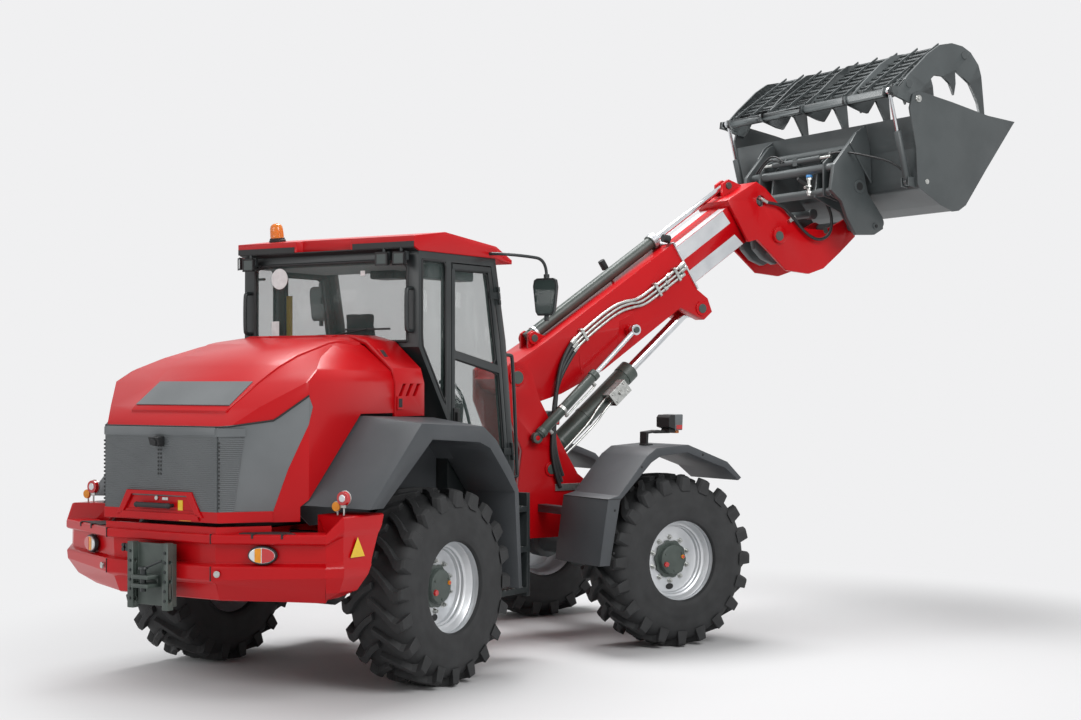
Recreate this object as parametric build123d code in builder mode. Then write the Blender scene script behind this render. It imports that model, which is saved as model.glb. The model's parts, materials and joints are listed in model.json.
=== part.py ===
from build123d import *
from math import atan2, cos, degrees, hypot, radians, sin
import os

# An articulated wheel loader with a telescopic boom, a quick coupler and a grab bucket.
# X is the rear body's forward direction, Y its left, Z up, the ground at Z = 0.

# Place of the articulation pivot in the frame, which puts the origin under the middle of the machine
PIVOT_X = -955.6
PIVOT_Y = 1047.4

# Pose: steering turned to the right, boom raised
STEER = -25.95
BOOM_PITCH = 34.0

# Running clearances
GAP = 8
PIN_GAP = 0.5
SEAT = 0.3
SLIDE_GAP = 12

# Wheels and axles
TYRE_RADIUS = 665
TYRE_WIDTH = 490
RIM_SEAT_RADIUS = 305
RIM_FLANGE_RADIUS = 330
RIM_WIDTH = 444
TRACK = 1982
REAR_AXLE_X = -1530
FRONT_AXLE_X = 1464
SPINDLE_RADIUS = 60
AXLE_RADIUS = 95

# Rear chassis and bumper
CHASSIS_HALF_WIDTH = 400
CHASSIS_PLATE = 30
CHASSIS_BOTTOM = 590
CHASSIS_TOP = 930
PIVOT_PIN_RADIUS = 45
CAB_MOUNT_RADIUS = 35
BUMPER_BOTTOM = 640
BUMPER_TOP = 1105
BUMPER_HALF_WIDTH = 1200
BODY_HALF_WIDTH = 1240

# Hood
HOOD_REAR = -3055
HOOD_FRONT = -1735
HOOD_BOTTOM = 1150
HOOD_HALF_WIDTH = 850
HOOD_WALL = 25

# Cab
CAB_HALF_WIDTH = 800
CAB_WALL = 45
CAB_FLOOR = 1230
CAB_ROOF_TOP = 3110
GLASS = 8

# Boom, along and square to its axis from its pivot
BOOM_PIVOT_X = 550
BOOM_PIVOT_Z = 2080
BOOM_TOP = 60
BOOM_BOTTOM = -430
BOOM_END = 1930
BOOM_HALF_WIDTH = 215
BOOM_WALL = 15
INNER_START = 950
HEAD_START = 2625
INNER_TOP = 11
INNER_BOTTOM = -345
INNER_WALL = 12
NOSE_HALF_WIDTH = 260
NOSE_PLATE = 35

# Flat sides of what needn't be round
PIPE_SIDES = 6
BAR_SIDES = 12
WHEEL_SIDES = 24

# Pins of the linkages, forward and up in the front frame
LIFT_BASE = (870, 1345)
LIFT_EYE = (2424, 2671)
LEVEL_BASE = (700, 1600)
LEVEL_EYE = (1655, 2474)
LEVEL_Y = 305
LIFT_PIN = 40
LEVEL_PIN = 20
GRAB_PIN_RADIUS = 16
LINK_PIN = 25
STEER_BASE_X = -380
STEER_BASE_Y = -300
STEER_EYE_X = 420
STEER_EYE_Y = -260
STEER_Z = 800
STEER_PIN = 20
LEVER_PIN = (3250, 3335)
LEVER_END = (2971, 3446)
COUPLER_PIN = (4100, 3455)
LINK_EYE = (3821, 3566)
GRAB_PIN = (3983, 4464)
GRAB_CYLINDER_BASE = (3950, 3760)
GRAB_CYLINDER_EYE = (3740, 4520)

# Bucket and grab
BUCKET_HALF_WIDTH = 1200
GRAB_CYLINDER_Y = 1100
BUCKET_PLATE = 15
SIDE_PLATE = 20
JAW_PLATE = 25


def spot(heading, x, y, z):
    """A point given forward, left and up of the pivot in a half that is turned by heading."""
    c, s = cos(radians(heading)), sin(radians(heading))
    return Vector(PIVOT_X + x * c - y * s, PIVOT_Y + x * s + y * c, z)


def way(heading, x, y, z):
    """A direction given forward, left and up in a half that is turned by heading."""
    return spot(heading, x, y, z) - spot(heading, 0, 0, 0)


def side(heading, x=0, y=0, z=0, pitch=0):
    """A plane seen from the machine's right: local x forward, local y up, normal to the right."""
    along = way(heading, cos(radians(pitch)), 0, sin(radians(pitch)))
    return Plane(origin=spot(heading, x, y, z), x_dir=along, z_dir=way(heading, 0, -1, 0))


def plan(heading, z, x=0, y=0):
    """A level plane: local x forward, local y left."""
    return Plane(origin=spot(heading, x, y, z), x_dir=way(heading, 1, 0, 0), z_dir=(0, 0, 1))


def across(heading, x, z=0, y=0):
    """An upright plane across a half: local x left, local y up, normal forward."""
    return Plane(origin=spot(heading, x, y, z), x_dir=way(heading, 0, 1, 0), z_dir=way(heading, 1, 0, 0))


def boom_plane(y=0):
    """The boom's own side plane: local x along the boom from its pivot, local y square to it."""
    return side(STEER, BOOM_PIVOT_X, y, BOOM_PIVOT_Z, BOOM_PITCH)


def on_boom(point):
    """A point of the front frame, forward and up, as the boom's plane has it."""
    dx, dz = point[0] - BOOM_PIVOT_X, point[1] - BOOM_PIVOT_Z
    c, s = cos(radians(BOOM_PITCH)), sin(radians(BOOM_PITCH))
    return (dx * c + dz * s, -dx * s + dz * c)


def plate(plane, outline, thickness, both=False, mode=Mode.ADD):
    """A plate of an outline's points, as thick as stated along the plane's normal."""
    with BuildSketch(plane) as face:
        Polygon(*outline, align=None)
    extrude(face.sketch, amount=thickness, dir=plane.z_dir, both=both, mode=mode)


def slab(heading, hand, inner, outer, outline, mode=Mode.ADD):
    """A plate in a side plane that reaches from one distance to another on one hand of a half."""
    plate(side(heading, y=max(hand * inner, hand * outer)), outline, outer - inner, mode=mode)


def disc(plane, centre, radius, thickness, both=False, mode=Mode.ADD, sides=None):
    """A boss or hole at a point of a plane, round or with a few flat sides."""
    with BuildSketch(plane) as face:
        with Locations(centre):
            if sides:
                RegularPolygon(radius, sides)
            else:
                Circle(radius)
    extrude(face.sketch, amount=thickness, dir=plane.z_dir, both=both, mode=mode)


def bar(start, end, radius, mode=Mode.ADD, sides=None):
    """A bar between two points, round where it fits a bore, else with a few flat sides."""
    run = end - start
    with BuildSketch(Plane(origin=start, z_dir=run)) as face:
        if sides:
            RegularPolygon(radius, sides)
        else:
            Circle(radius)
    extrude(face.sketch, amount=run.length, dir=run.normalized(), mode=mode)


def pipe(points, radius, bend):
    """A bent tube through points, its corners cut off at a bend's length, with mitred flat sides."""
    route = [points[0]]
    for before, corner, after in zip(points, points[1:], points[2:]):
        route += [corner + (before - corner).normalized() * bend, corner + (after - corner).normalized() * bend]
    route.append(points[-1])
    with BuildLine() as path:
        Polyline(*route)
    with BuildSketch(Plane(origin=route[0], z_dir=route[1] - route[0])) as face:
        RegularPolygon(radius, PIPE_SIDES)
    sweep(face.sketch, path=path.line, transition=Transition.RIGHT)


def between(start, end, share):
    """The point that lies a share of the way from one flat point to another."""
    return (start[0] + (end[0] - start[0]) * share, start[1] + (end[1] - start[1]) * share)


def in_front(point, y=0):
    """A point of the front frame, forward and up, at y to the left."""
    return spot(STEER, point[0], y, point[1])


def finish(block, label):
    """Label a sub-part and write it."""
    block.part.label = label
    export_step(block.part, f"parts/{label}.step")


os.makedirs("parts", exist_ok=True)

REAR_CENTRE = side(0)
FRONT_CENTRE = side(STEER)
HANDS = {"right": -1, "left": 1}

# Wheels: tyre and rim with its planetary hub
RIM_DEPTH = RIM_WIDTH / 2
HUB_FACE = 112
HUB_RADIUS = 118
DISC_INNER = 30
DISC_OUTER = 46


def wheel_plane(heading, axle_x, hand):
    """The half plane that a wheel's section is turned from: local x up, local y outwards."""
    out = way(heading, 0, hand, 0)
    centre = spot(heading, axle_x, hand * TRACK / 2, TYRE_RADIUS)
    return Plane(origin=centre, x_dir=(0, 0, 1), z_dir=Vector(0, 0, 1).cross(out))


RIM_SECTION = (
    (RIM_FLANGE_RADIUS, RIM_DEPTH), (RIM_SEAT_RADIUS, RIM_DEPTH - 20), (RIM_SEAT_RADIUS, -RIM_DEPTH + 20),
    (RIM_FLANGE_RADIUS, -RIM_DEPTH), (RIM_SEAT_RADIUS - 12, -RIM_DEPTH), (RIM_SEAT_RADIUS - 45, -40), (230, DISC_INNER),
    (HUB_RADIUS - 20, DISC_INNER), (HUB_RADIUS - 20, DISC_OUTER), (230, DISC_OUTER), (RIM_SEAT_RADIUS - 45, 75),
    (RIM_SEAT_RADIUS - 12, RIM_DEPTH),
)
CARCASS_RADIUS = 630
TYRE_SECTION = (
    (RIM_SEAT_RADIUS, RIM_DEPTH - 20), (RIM_FLANGE_RADIUS + 8, RIM_DEPTH - 6), (510, TYRE_WIDTH / 2 - 10),
    (CARCASS_RADIUS, TYRE_WIDTH / 2 - 55),
)
TYRE_SECTION += tuple((radius, -along) for radius, along in reversed(TYRE_SECTION))

# Lugs: stations from the tread's middle outwards, each with its lead round the tread, top, base and half width
LUGS = 14
LUG_PITCH = 360 / LUGS
LUG_STATIONS = ((-15, 150, 664.5, 590, 24), (TYRE_WIDTH / 2, 0, 655, 545, 34))
LUG_SPLAY = 1.25


def turned(section, profile):
    """A ring of flat faces round a wheel's axle, from points given as radius and distance outwards."""
    rings = []
    for radius, along in profile:
        rings.append([])
        for count in range(WHEEL_SIDES):
            turn = radians((count + 0.5) * 360 / WHEEL_SIDES)
            arm = section.x_dir * (radius * cos(turn)) + section.z_dir * (radius * sin(turn))
            rings[-1].append(section.origin + section.y_dir * along + arm)
    faces = []
    for near, far in zip(rings, rings[1:] + rings[:1]):
        for count in range(WHEEL_SIDES):
            onward = (count + 1) % WHEEL_SIDES
            faces.append(Face(Wire.make_polygon([near[count], near[onward], far[onward], far[count]])))
    ring = Solid(Shell(faces))
    return ring if ring.volume > 0 else -ring


def lug(section, hand, side_sign, turn):
    """One lug as a closed skin, from the tread's middle to the shoulder, its inner end leading as the wheel rolls on."""
    stations = []
    for along, lead, top, base, half in LUG_STATIONS:
        at = radians(turn) - hand * lead / TYRE_RADIUS
        outward = section.x_dir * cos(at) + section.z_dir * sin(at)
        round_way = section.z_dir * cos(at) - section.x_dir * sin(at)
        middle = section.origin + section.y_dir * (side_sign * along)
        corners = ((base, -half * LUG_SPLAY), (top, -half), (top, half), (base, half * LUG_SPLAY))
        stations.append([middle + outward * radius + round_way * shift for radius, shift in corners])
    faces = [Face(Wire.make_polygon(stations[0])), Face(Wire.make_polygon(stations[-1]))]
    for near, far in zip(stations, stations[1:]):
        for count in range(4):
            onward = (count + 1) % 4
            faces.append(Face(Wire.make_polygon([near[count], near[onward], far[onward]])))
            faces.append(Face(Wire.make_polygon([near[count], far[onward], far[count]])))
    skin = Solid(Shell(faces))
    return skin if skin.volume > 0 else -skin


for axle, (heading, axle_x) in {"front": (STEER, FRONT_AXLE_X), "rear": (0, REAR_AXLE_X)}.items():
    for name, hand in HANDS.items():
        section = wheel_plane(heading, axle_x, hand)
        with BuildPart() as tyre:
            lugs = [
                lug(section, hand, side_sign, (count + offset) * LUG_PITCH)
                for side_sign, offset in ((-1, 0), (1, 0.5))
                for count in range(LUGS)
            ]
            add(turned(section, TYRE_SECTION).fuse(*lugs))
        finish(tyre, f"tyre_{axle}_{name}")

        with BuildPart() as rim:
            add(turned(section, RIM_SECTION))
            bar(section.origin - section.y_dir * 90, section.origin + section.y_dir * HUB_FACE, HUB_RADIUS, sides=BAR_SIDES)
            bar(section.origin - section.y_dir * 91, section.origin + section.y_dir * 60, SPINDLE_RADIUS + PIN_GAP, mode=Mode.SUBTRACT)
        finish(rim, f"rim_{axle}_{name}")

    # Axle beam with its differential, hub carriers and spindles
    with BuildPart() as beam:
        hub_inner = TRACK / 2 - 100
        bar(
            spot(heading, axle_x, -hub_inner, TYRE_RADIUS),
            spot(heading, axle_x, hub_inner, TYRE_RADIUS),
            AXLE_RADIUS,
            sides=BAR_SIDES,
        )
        bar(
            spot(heading, axle_x, -TRACK / 2 - 50, TYRE_RADIUS),
            spot(heading, axle_x, TRACK / 2 + 50, TYRE_RADIUS),
            SPINDLE_RADIUS,
        )
        for hand in (-1, 1):
            bar(
                spot(heading, axle_x, hand * (hub_inner - 150), TYRE_RADIUS),
                spot(heading, axle_x, hand * hub_inner, TYRE_RADIUS),
                145,
                sides=BAR_SIDES,
            )
        bar(spot(heading, axle_x, -180, TYRE_RADIUS), spot(heading, axle_x, 180, TYRE_RADIUS), 190, sides=BAR_SIDES)
        nose = 260 if axle == "rear" else -260
        bar(spot(heading, axle_x, 0, TYRE_RADIUS), spot(heading, axle_x + nose, 0, TYRE_RADIUS), 90, sides=BAR_SIDES)
    finish(beam, f"{axle}_axle")

# Rear chassis: two side members on the axle, tied across, with the pivot's tongues in front
TONGUE_TOP = 1000
TONGUE_LOW = 560
TONGUE = 45
with BuildPart() as rear_chassis:
    member = [
        (-2960, 700), (-2960, 1100), (-1900, 1100), (-1700, CHASSIS_TOP + 60), (-420, CHASSIS_TOP + 60),
        (-420, CHASSIS_BOTTOM), (-1240, CHASSIS_BOTTOM), (-1330, 780), (-1730, 780), (-1820, 700),
    ]
    plate(side(0, y=CHASSIS_HALF_WIDTH), member, CHASSIS_PLATE)
    plate(side(0, y=-CHASSIS_HALF_WIDTH + CHASSIS_PLATE), member, CHASSIS_PLATE)
    for x, low, high in ((-2930, 720, 1080), (-1900, 860, 1080), (-1150, 640, 900), (-450, CHASSIS_BOTTOM, 990)):
        tie = [(x, low), (x + CHASSIS_PLATE, low), (x + CHASSIS_PLATE, high), (x, high)]
        plate(side(0), tie, CHASSIS_HALF_WIDTH - CHASSIS_PLATE / 2, both=True)
    for z in (TONGUE_TOP - TONGUE, TONGUE_LOW):
        tongue = [(-430, -330), (0, -110), (0, 110), (-430, 330)]
        plate(plan(0, z), tongue, TONGUE)
        disc(plan(0, z), (0, 0), 110, TONGUE, sides=BAR_SIDES)
        disc(plan(0, z), (0, 0), PIVOT_PIN_RADIUS + PIN_GAP, TONGUE, mode=Mode.SUBTRACT)
    for x in (-980, -480):
        for y in (-CHASSIS_HALF_WIDTH + CAB_MOUNT_RADIUS, CHASSIS_HALF_WIDTH - CAB_MOUNT_RADIUS):
            bar(spot(0, x, y, 980), spot(0, x, y, CAB_FLOOR - SEAT), CAB_MOUNT_RADIUS, sides=BAR_SIDES)
    for z in (STEER_Z - 63, STEER_Z + 43):
        plate(plan(0, z, STEER_BASE_X, STEER_BASE_Y), [(-50, -40), (35, -40), (35, 40), (-50, 40)], 20)
    disc(plan(0, STEER_Z - 50, STEER_BASE_X, STEER_BASE_Y), (0, 0), STEER_PIN, 100)
    seat_block = [(-170, AXLE_RADIUS - 10), (170, AXLE_RADIUS - 10), (170, 140), (-170, 140)]
    for y in (-CHASSIS_HALF_WIDTH + CHASSIS_PLATE, CHASSIS_HALF_WIDTH):
        plate(side(0, x=REAR_AXLE_X, y=y, z=TYRE_RADIUS), seat_block, CHASSIS_PLATE)
    bar(
        spot(0, REAR_AXLE_X, -CHASSIS_HALF_WIDTH - 1, TYRE_RADIUS),
        spot(0, REAR_AXLE_X, CHASSIS_HALF_WIDTH + 1, TYRE_RADIUS),
        AXLE_RADIUS,
        mode=Mode.SUBTRACT,
        sides=BAR_SIDES,
    )
finish(rear_chassis, "rear_chassis")

with BuildPart() as engine:
    block = [(-2780, 1100 + SEAT), (-1950, 1100 + SEAT), (-1950, 1800), (-2600, 1800), (-2780, 1600)]
    plate(REAR_CENTRE, block, 385, both=True)
finish(engine, "engine_block")

# Bumper: a thick casting in three sections that wraps the tail
TAIL_LAMP = (-2934, 751, 971)
TAIL_LAMP_RADIUS = 60
with BuildPart() as bumper:
    wrap = [(-3085, -450), (-2800, -1136), (-2700, -BUMPER_HALF_WIDTH), (-2290, -BUMPER_HALF_WIDTH), (-2330, -900), (-2380, -430)]
    wrap += [(x, -y) for x, y in reversed(wrap)]
    plate(plan(0, 600), wrap, 700)
    section = [
        (-2320, BUMPER_TOP + 110), (-2500, 735), (-2600, 685), (-2860, BUMPER_BOTTOM), (-3040, BUMPER_BOTTOM + 20),
        (-3060, 900), (-3085, 915), (-3085, BUMPER_TOP), (-2800, BUMPER_TOP + 5), (-2760, BUMPER_TOP + 110),
    ]
    plate(REAR_CENTRE, section, BUMPER_HALF_WIDTH + 10, both=True, mode=Mode.INTERSECT)
    plate(REAR_CENTRE, [(-3200, BUMPER_TOP), (-2200, BUMPER_TOP), (-2200, 1300), (-3200, 1300)], HOOD_HALF_WIDTH + GAP,
          both=True, mode=Mode.SUBTRACT)
    plate(REAR_CENTRE, [(-2965, 600), (-2200, 600), (-2200, 1300), (-2965, 1300)], CHASSIS_HALF_WIDTH + SEAT,
          both=True, mode=Mode.SUBTRACT)
    for hand in (-1, 1):
        lamp = spot(0, TAIL_LAMP[0], hand * TAIL_LAMP[1], TAIL_LAMP[2])
        bar(lamp - Vector(150, 0, 0), lamp + Vector(30, 0, 0), TAIL_LAMP_RADIUS, mode=Mode.SUBTRACT, sides=BAR_SIDES)
finish(bumper, "rear_bumper")

# Hitch plate with two channel rails and a jaw
HITCH_FACE = -3170
HITCH_PIN = 20
with BuildPart() as hitch:
    plate(side(0), [(-3120, 640), (-3085 - SEAT, 640), (-3085 - SEAT, 1030), (-3120, 1030)], 170, both=True)
    for y in (-150, 150):
        rail = [(HITCH_FACE, -25), (-3120, -25), (-3120, 25), (HITCH_FACE, 25)]
        plate(plan(0, 620, y=y), rail, 420)
    for z in (680, 800, 920):
        for y in (-150, 150):
            disc(side(0, y=y + 30), (HITCH_FACE + 22, z), 12, 60, mode=Mode.SUBTRACT)
    jaw = [(-3240, 760), (-3120, 760), (-3120, 840), (-3240, 840)]
    plate(side(0), jaw, 70, both=True)
    plate(side(0), [(-3245, 785), (-3150, 785), (-3150, 815), (-3245, 815)], 75, both=True, mode=Mode.SUBTRACT)
    bar(spot(0, -3205, 0, 750), spot(0, -3205, 0, 850), HITCH_PIN, mode=Mode.SUBTRACT)
finish(hitch, "hitch")

HOOD_CREST = ((-2860, 1890), (-2640, 2040), (-2480, 2137), (-2320, 2212), (-2050, 2298), (HOOD_FRONT, 2350))


# Hood: its plan, side and cross outlines met, hollow, then parted from the grille
def hood_body(inset):
    """The hood's solid, drawn in by an inset on every outer face."""
    reach = HOOD_HALF_WIDTH - inset
    with BuildPart(mode=Mode.PRIVATE) as body:
        with BuildSketch(plan(0, HOOD_BOTTOM)) as floor:
            with BuildLine():
                Polyline(
                    (HOOD_FRONT, reach), (-2620, reach), (HOOD_REAR + inset, 490 - inset),
                    (HOOD_REAR + inset, -490 + inset), (-2620, -reach), (HOOD_FRONT, -reach), close=True,
                )
            make_face()
        extrude(floor.sketch, amount=1400, dir=(0, 0, 1))
        with BuildSketch(side(0)) as crest:
            with BuildLine():
                edge = Polyline((HOOD_FRONT, HOOD_BOTTOM), (HOOD_REAR + inset, HOOD_BOTTOM), (HOOD_REAR + inset, 1725 - inset))
                top = Polyline((HOOD_REAR + inset, 1725 - inset), *((x, z - inset) for x, z in HOOD_CREST))
                Line(top @ 1, edge @ 0)
            make_face()
        extrude(crest.sketch, amount=1000, both=True, mode=Mode.INTERSECT)
        with BuildSketch(across(0, HOOD_FRONT)) as arch:
            with BuildLine():
                Polyline(
                    (reach, HOOD_BOTTOM), (reach, 2040 - inset), (reach - 30, 2120 - inset), (600 - inset, 2290 - inset),
                    (430 - inset, 2360 - inset), (-430 + inset, 2360 - inset), (-600 + inset, 2290 - inset),
                    (-reach + 30, 2120 - inset), (-reach, 2040 - inset), (-reach, HOOD_BOTTOM), close=True,
                )
            make_face()
        extrude(arch.sketch, amount=-1500, mode=Mode.INTERSECT)
    return body.part


HOOD_HINGE_X = HOOD_FRONT + GAP / 2
HOOD_HINGE_Z = 2362
HINGE_Y = 300
FENDER_CUT = [(-2662, 1100), (-2662, 1262), (-2094, 1838), (-1650, 1838), (-1650, 1100)]
SLATS = 9
SLAT_LOW = 1325
SLAT_PITCH = 40
SLAT_HEIGHT = 14
GRILLE_PROUD = 5
LIP_LOW, LIP_TOP = 1712, 1764
GRILLE_OUTLINE = [
    (-3200, 1100), (-3200, 1765), (-3005, 1770), (-2790, 1806), (-2620, 1960), (-2580, 1890), (-2720, 1500), (-2830, 1100),
]
PANEL_RISE = 12
PANEL_FRONT = HOOD_FRONT - 30
PANEL_PLAN = [(-2905, -412), (PANEL_FRONT, -585), (PANEL_FRONT, 585), (-2905, 412)]
hood_inside = hood_body(HOOD_WALL)
hood_shell_solid = hood_body(0) - hood_inside
with BuildPart(mode=Mode.PRIVATE) as raised_panel:
    add(hood_body(-PANEL_RISE))
    plate(plan(0, HOOD_BOTTOM), PANEL_PLAN, 1400, mode=Mode.INTERSECT)
    add(hood_inside, mode=Mode.SUBTRACT)
with BuildPart() as hood:
    add(hood_shell_solid)
    add(raised_panel.part)
    plate(REAR_CENTRE, FENDER_CUT, HOOD_HALF_WIDTH + 10, both=True, mode=Mode.SUBTRACT)
    plate(REAR_CENTRE, GRILLE_OUTLINE, 1000, both=True, mode=Mode.SUBTRACT)
    plate(REAR_CENTRE, [(HOOD_FRONT + 10, HOOD_BOTTOM - 10), (HOOD_REAR - 10, HOOD_BOTTOM - 10),
                        (HOOD_REAR - 10, HOOD_BOTTOM + 20), (HOOD_FRONT + 10, HOOD_BOTTOM + 20)], 1000, both=True, mode=Mode.SUBTRACT)
    for y in (HINGE_Y, -HINGE_Y):
        bar(spot(0, HOOD_HINGE_X, y - 20, HOOD_HINGE_Z), spot(0, HOOD_HINGE_X, y + 20, HOOD_HINGE_Z), 10)
        leaf = [(HOOD_HINGE_X, 2352), (HOOD_HINGE_X - 70, 2343), (HOOD_HINGE_X - 70, 2352), (HOOD_HINGE_X, 2362)]
        plate(side(0, y=y + 20), leaf, 40)
finish(hood, "hood")

with BuildPart() as grille:
    add(hood_shell_solid)
    plate(REAR_CENTRE, GRILLE_OUTLINE, 1000, both=True, mode=Mode.INTERSECT)
    plate(REAR_CENTRE, [(HOOD_FRONT + 10, HOOD_BOTTOM - 60), (HOOD_REAR - 10, HOOD_BOTTOM - 60),
                        (HOOD_REAR - 10, HOOD_BOTTOM + 20), (HOOD_FRONT + 10, HOOD_BOTTOM + 20)], 1000, both=True, mode=Mode.SUBTRACT)
    for step in range(SLATS):
        low, top = SLAT_LOW + step * SLAT_PITCH, SLAT_LOW + step * SLAT_PITCH + SLAT_HEIGHT
        slat = [(HOOD_REAR - 8, low), (HOOD_REAR + GRILLE_PROUD, low), (HOOD_REAR + GRILLE_PROUD, top), (HOOD_REAR - 8, top)]
        plate(REAR_CENTRE, slat, 300, both=True)
    lip = [(HOOD_REAR - 16, LIP_LOW), (HOOD_REAR + GRILLE_PROUD, LIP_LOW),
           (HOOD_REAR + GRILLE_PROUD, LIP_TOP), (HOOD_REAR - 16, LIP_TOP)]
    plate(REAR_CENTRE, lip, 472, both=True)
finish(grille, "hood_grille")

# Cowl between hood and cab
COWL_FRONT = -1395
VENT_STARTS = (-1700, -1620, -1540)
VENT_LOW, VENT_TOP = 1950, 2035
VENT_WIDTH = 38
VENT_SLANT = 54
with BuildPart() as cowl:
    arch = [(860, 1814), (860, 2040), (830, 2140), (610, 2330), (440, 2372)]
    arch += [(-x, y) for x, y in reversed(arch)]
    plate(across(0, HOOD_FRONT + GAP), arch, COWL_FRONT - HOOD_FRONT - 2 * GAP)
    inner = [(860 - 30, 1810), (830, 2030), (800, 2115), (595, 2300), (440, 2340)]
    inner += [(-x, y) for x, y in reversed(inner)]
    plate(across(0, HOOD_FRONT), inner, COWL_FRONT - HOOD_FRONT, mode=Mode.SUBTRACT)
    for hand in HANDS.values():
        for x in VENT_STARTS:
            vent = [(x, VENT_LOW), (x + VENT_WIDTH, VENT_LOW), (x + VENT_WIDTH + VENT_SLANT, VENT_TOP), (x + VENT_SLANT, VENT_TOP)]
            slab(0, hand, 820, 870, vent, mode=Mode.SUBTRACT)
    for y in (HINGE_Y, -HINGE_Y):
        notch = [(HOOD_FRONT, 2339), (HOOD_FRONT + 25, 2339), (HOOD_FRONT + 25, 2380), (HOOD_FRONT, 2380)]
        plate(side(0, y=y), notch, 21, both=True, mode=Mode.SUBTRACT)
        for start in (y - 45.4, y + 20.4):
            bar(spot(0, HOOD_HINGE_X, start, HOOD_HINGE_Z), spot(0, HOOD_HINGE_X, start + 25, HOOD_HINGE_Z), 10)
finish(cowl, "side_cowl")

# Rear fenders, from the body's side out over the tyre
FENDER_OUTER = [
    (-2500, 1250), (-1950, 1777), (-1231, 1740), (-1072, 1640), (-880, 1430), (-790, 1280), (-745, 584),
    (-785, 584), (-840, 1270), (-1000, 1440), (-1150, 1590), (-1280, 1635), (-1831, 1669), (-2360, 1250),
]
FENDER_INNER = [
    (-2640, 1270), (-2080, 1825), (-1300, 1800), (-1120, 1700), (-890, 1470), (-790, 1290), (-745, 584),
    (-785, 584), (-840, 1270), (-1000, 1440), (-1150, 1600), (-1280, 1650), (-1950, 1730), (-2480, 1270),
]
FENDER_SEAM_Y = HOOD_HALF_WIDTH + 15
LINER_Y = 700
LINER = 15
SHELF = [
    (-2640, 1270), (-2080, 1825), (-1300, 1800), (-1120, 1700), (-1060, 1640), (-1060, 1503), (-1150, 1600), (-1280, 1650),
    (-1950, 1730), (-2480, 1270),
]
LINER_OUTLINE = [
    (-2640, 1270), (-2080, 1825), (-1300, 1800), (-1120, 1700), (-1060, 1640), (-1060, 700), (-1200, 780),
    (-1330, 900), (-1730, 900), (-2200, 1000), (-2300, 1000), (-2300, 1125),
    (-2440, 1125),
]
FRONT_STRIP = [
    (-1380, 1802.5), (-1300, 1800), (-1120, 1700), (-890, 1470), (-790, 1290), (-745, 584), (-785, 584), (-840, 1270),
    (-1000, 1440), (-1150, 1600), (-1280, 1650), (-1380, 1662),
]


with BuildPart() as rear_fenders:
    for hand in HANDS.values():
        with BuildSketch(side(0, y=hand * BODY_HALF_WIDTH)) as outer_end:
            Polygon(*FENDER_OUTER, align=None)
        with BuildSketch(side(0, y=hand * FENDER_SEAM_Y)) as inner_end:
            Polygon(*FENDER_INNER, align=None)
        loft(sections=[outer_end.sketch.face(), inner_end.sketch.face()], ruled=True)
        slab(0, hand, LINER_Y, FENDER_SEAM_Y, SHELF)
        slab(0, hand, LINER_Y, LINER_Y + LINER, LINER_OUTLINE)
        slab(0, hand, CAB_HALF_WIDTH + 15, FENDER_SEAM_Y, FRONT_STRIP)
        slab(0, hand, CHASSIS_HALF_WIDTH + SEAT, LINER_Y + 5, [(-2280, 1010), (-2220, 1010), (-2220, 1070), (-2280, 1070)])
        slab(0, hand, CHASSIS_HALF_WIDTH + SEAT, LINER_Y + 5, [(-1310, 890), (-1240, 890), (-1240, 950), (-1310, 950)])
finish(rear_fenders, "rear_fenders")

# The doors' hinge line, which stands off the slanted front pillar
DOOR_HINGE_Y = CAB_HALF_WIDTH + 14
KNUCKLE = 12
KNUCKLE_PIN = 5
STRAP_LOW = (1500, 2660)
STRAP = 50


def pillar_x(z):
    """Where the doors' hinge line stands at a height."""
    return -190 - (z - 1370) * 0.1592


def knuckle(hand, low, high, radius, mode=Mode.ADD):
    """A round piece on the doors' hinge line between two heights."""
    start, end = (spot(0, pillar_x(z), hand * DOOR_HINGE_Y, z) for z in (low, high))
    bar(start, end, radius, mode=mode)


# Cab frame: one hollow body with its door ways, windows and floor
CAB_SIDE = [
    (-1386, 2960), (-1386, 2290), (-1040, 1770), (-1040, CAB_FLOOR), (-175, CAB_FLOOR), (-165, 1400),
    (-288, 2350), (-430, 2960),
]
CAB_INSIDE = [
    (-1340, 2915), (-1340, 2305), (-995, 1785), (-995, CAB_FLOOR + CAB_WALL), (-222, CAB_FLOOR + CAB_WALL),
    (-211, 1400), (-333, 2345), (-465, 2915),
]
DOOR_WAY = [(-995, 2900), (-995, 1586), (-884, 1474), (-807, 1330), (-245, 1330), (-238, 1410), (-360, 2350), (-485, 2900)]
DOOR = [(-987, 2892), (-987, 1590), (-876, 1479), (-798, 1338), (-252, 1338), (-246, 1411), (-368, 2349), (-491, 2892)]
UPPER_PANE = [(-947, 2850), (-947, 2270), (-395, 2170), (-525, 2850)]
LOWER_PANE = [(-947, 2215), (-947, 1625), (-845, 1520), (-765, 1385), (-290, 1385), (-285, 1420), (-375, 2110)]
QUARTER_PANE = [(-1345, 2900), (-1345, 2310), (-1060, 1880), (-1060, 2900)]
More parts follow.
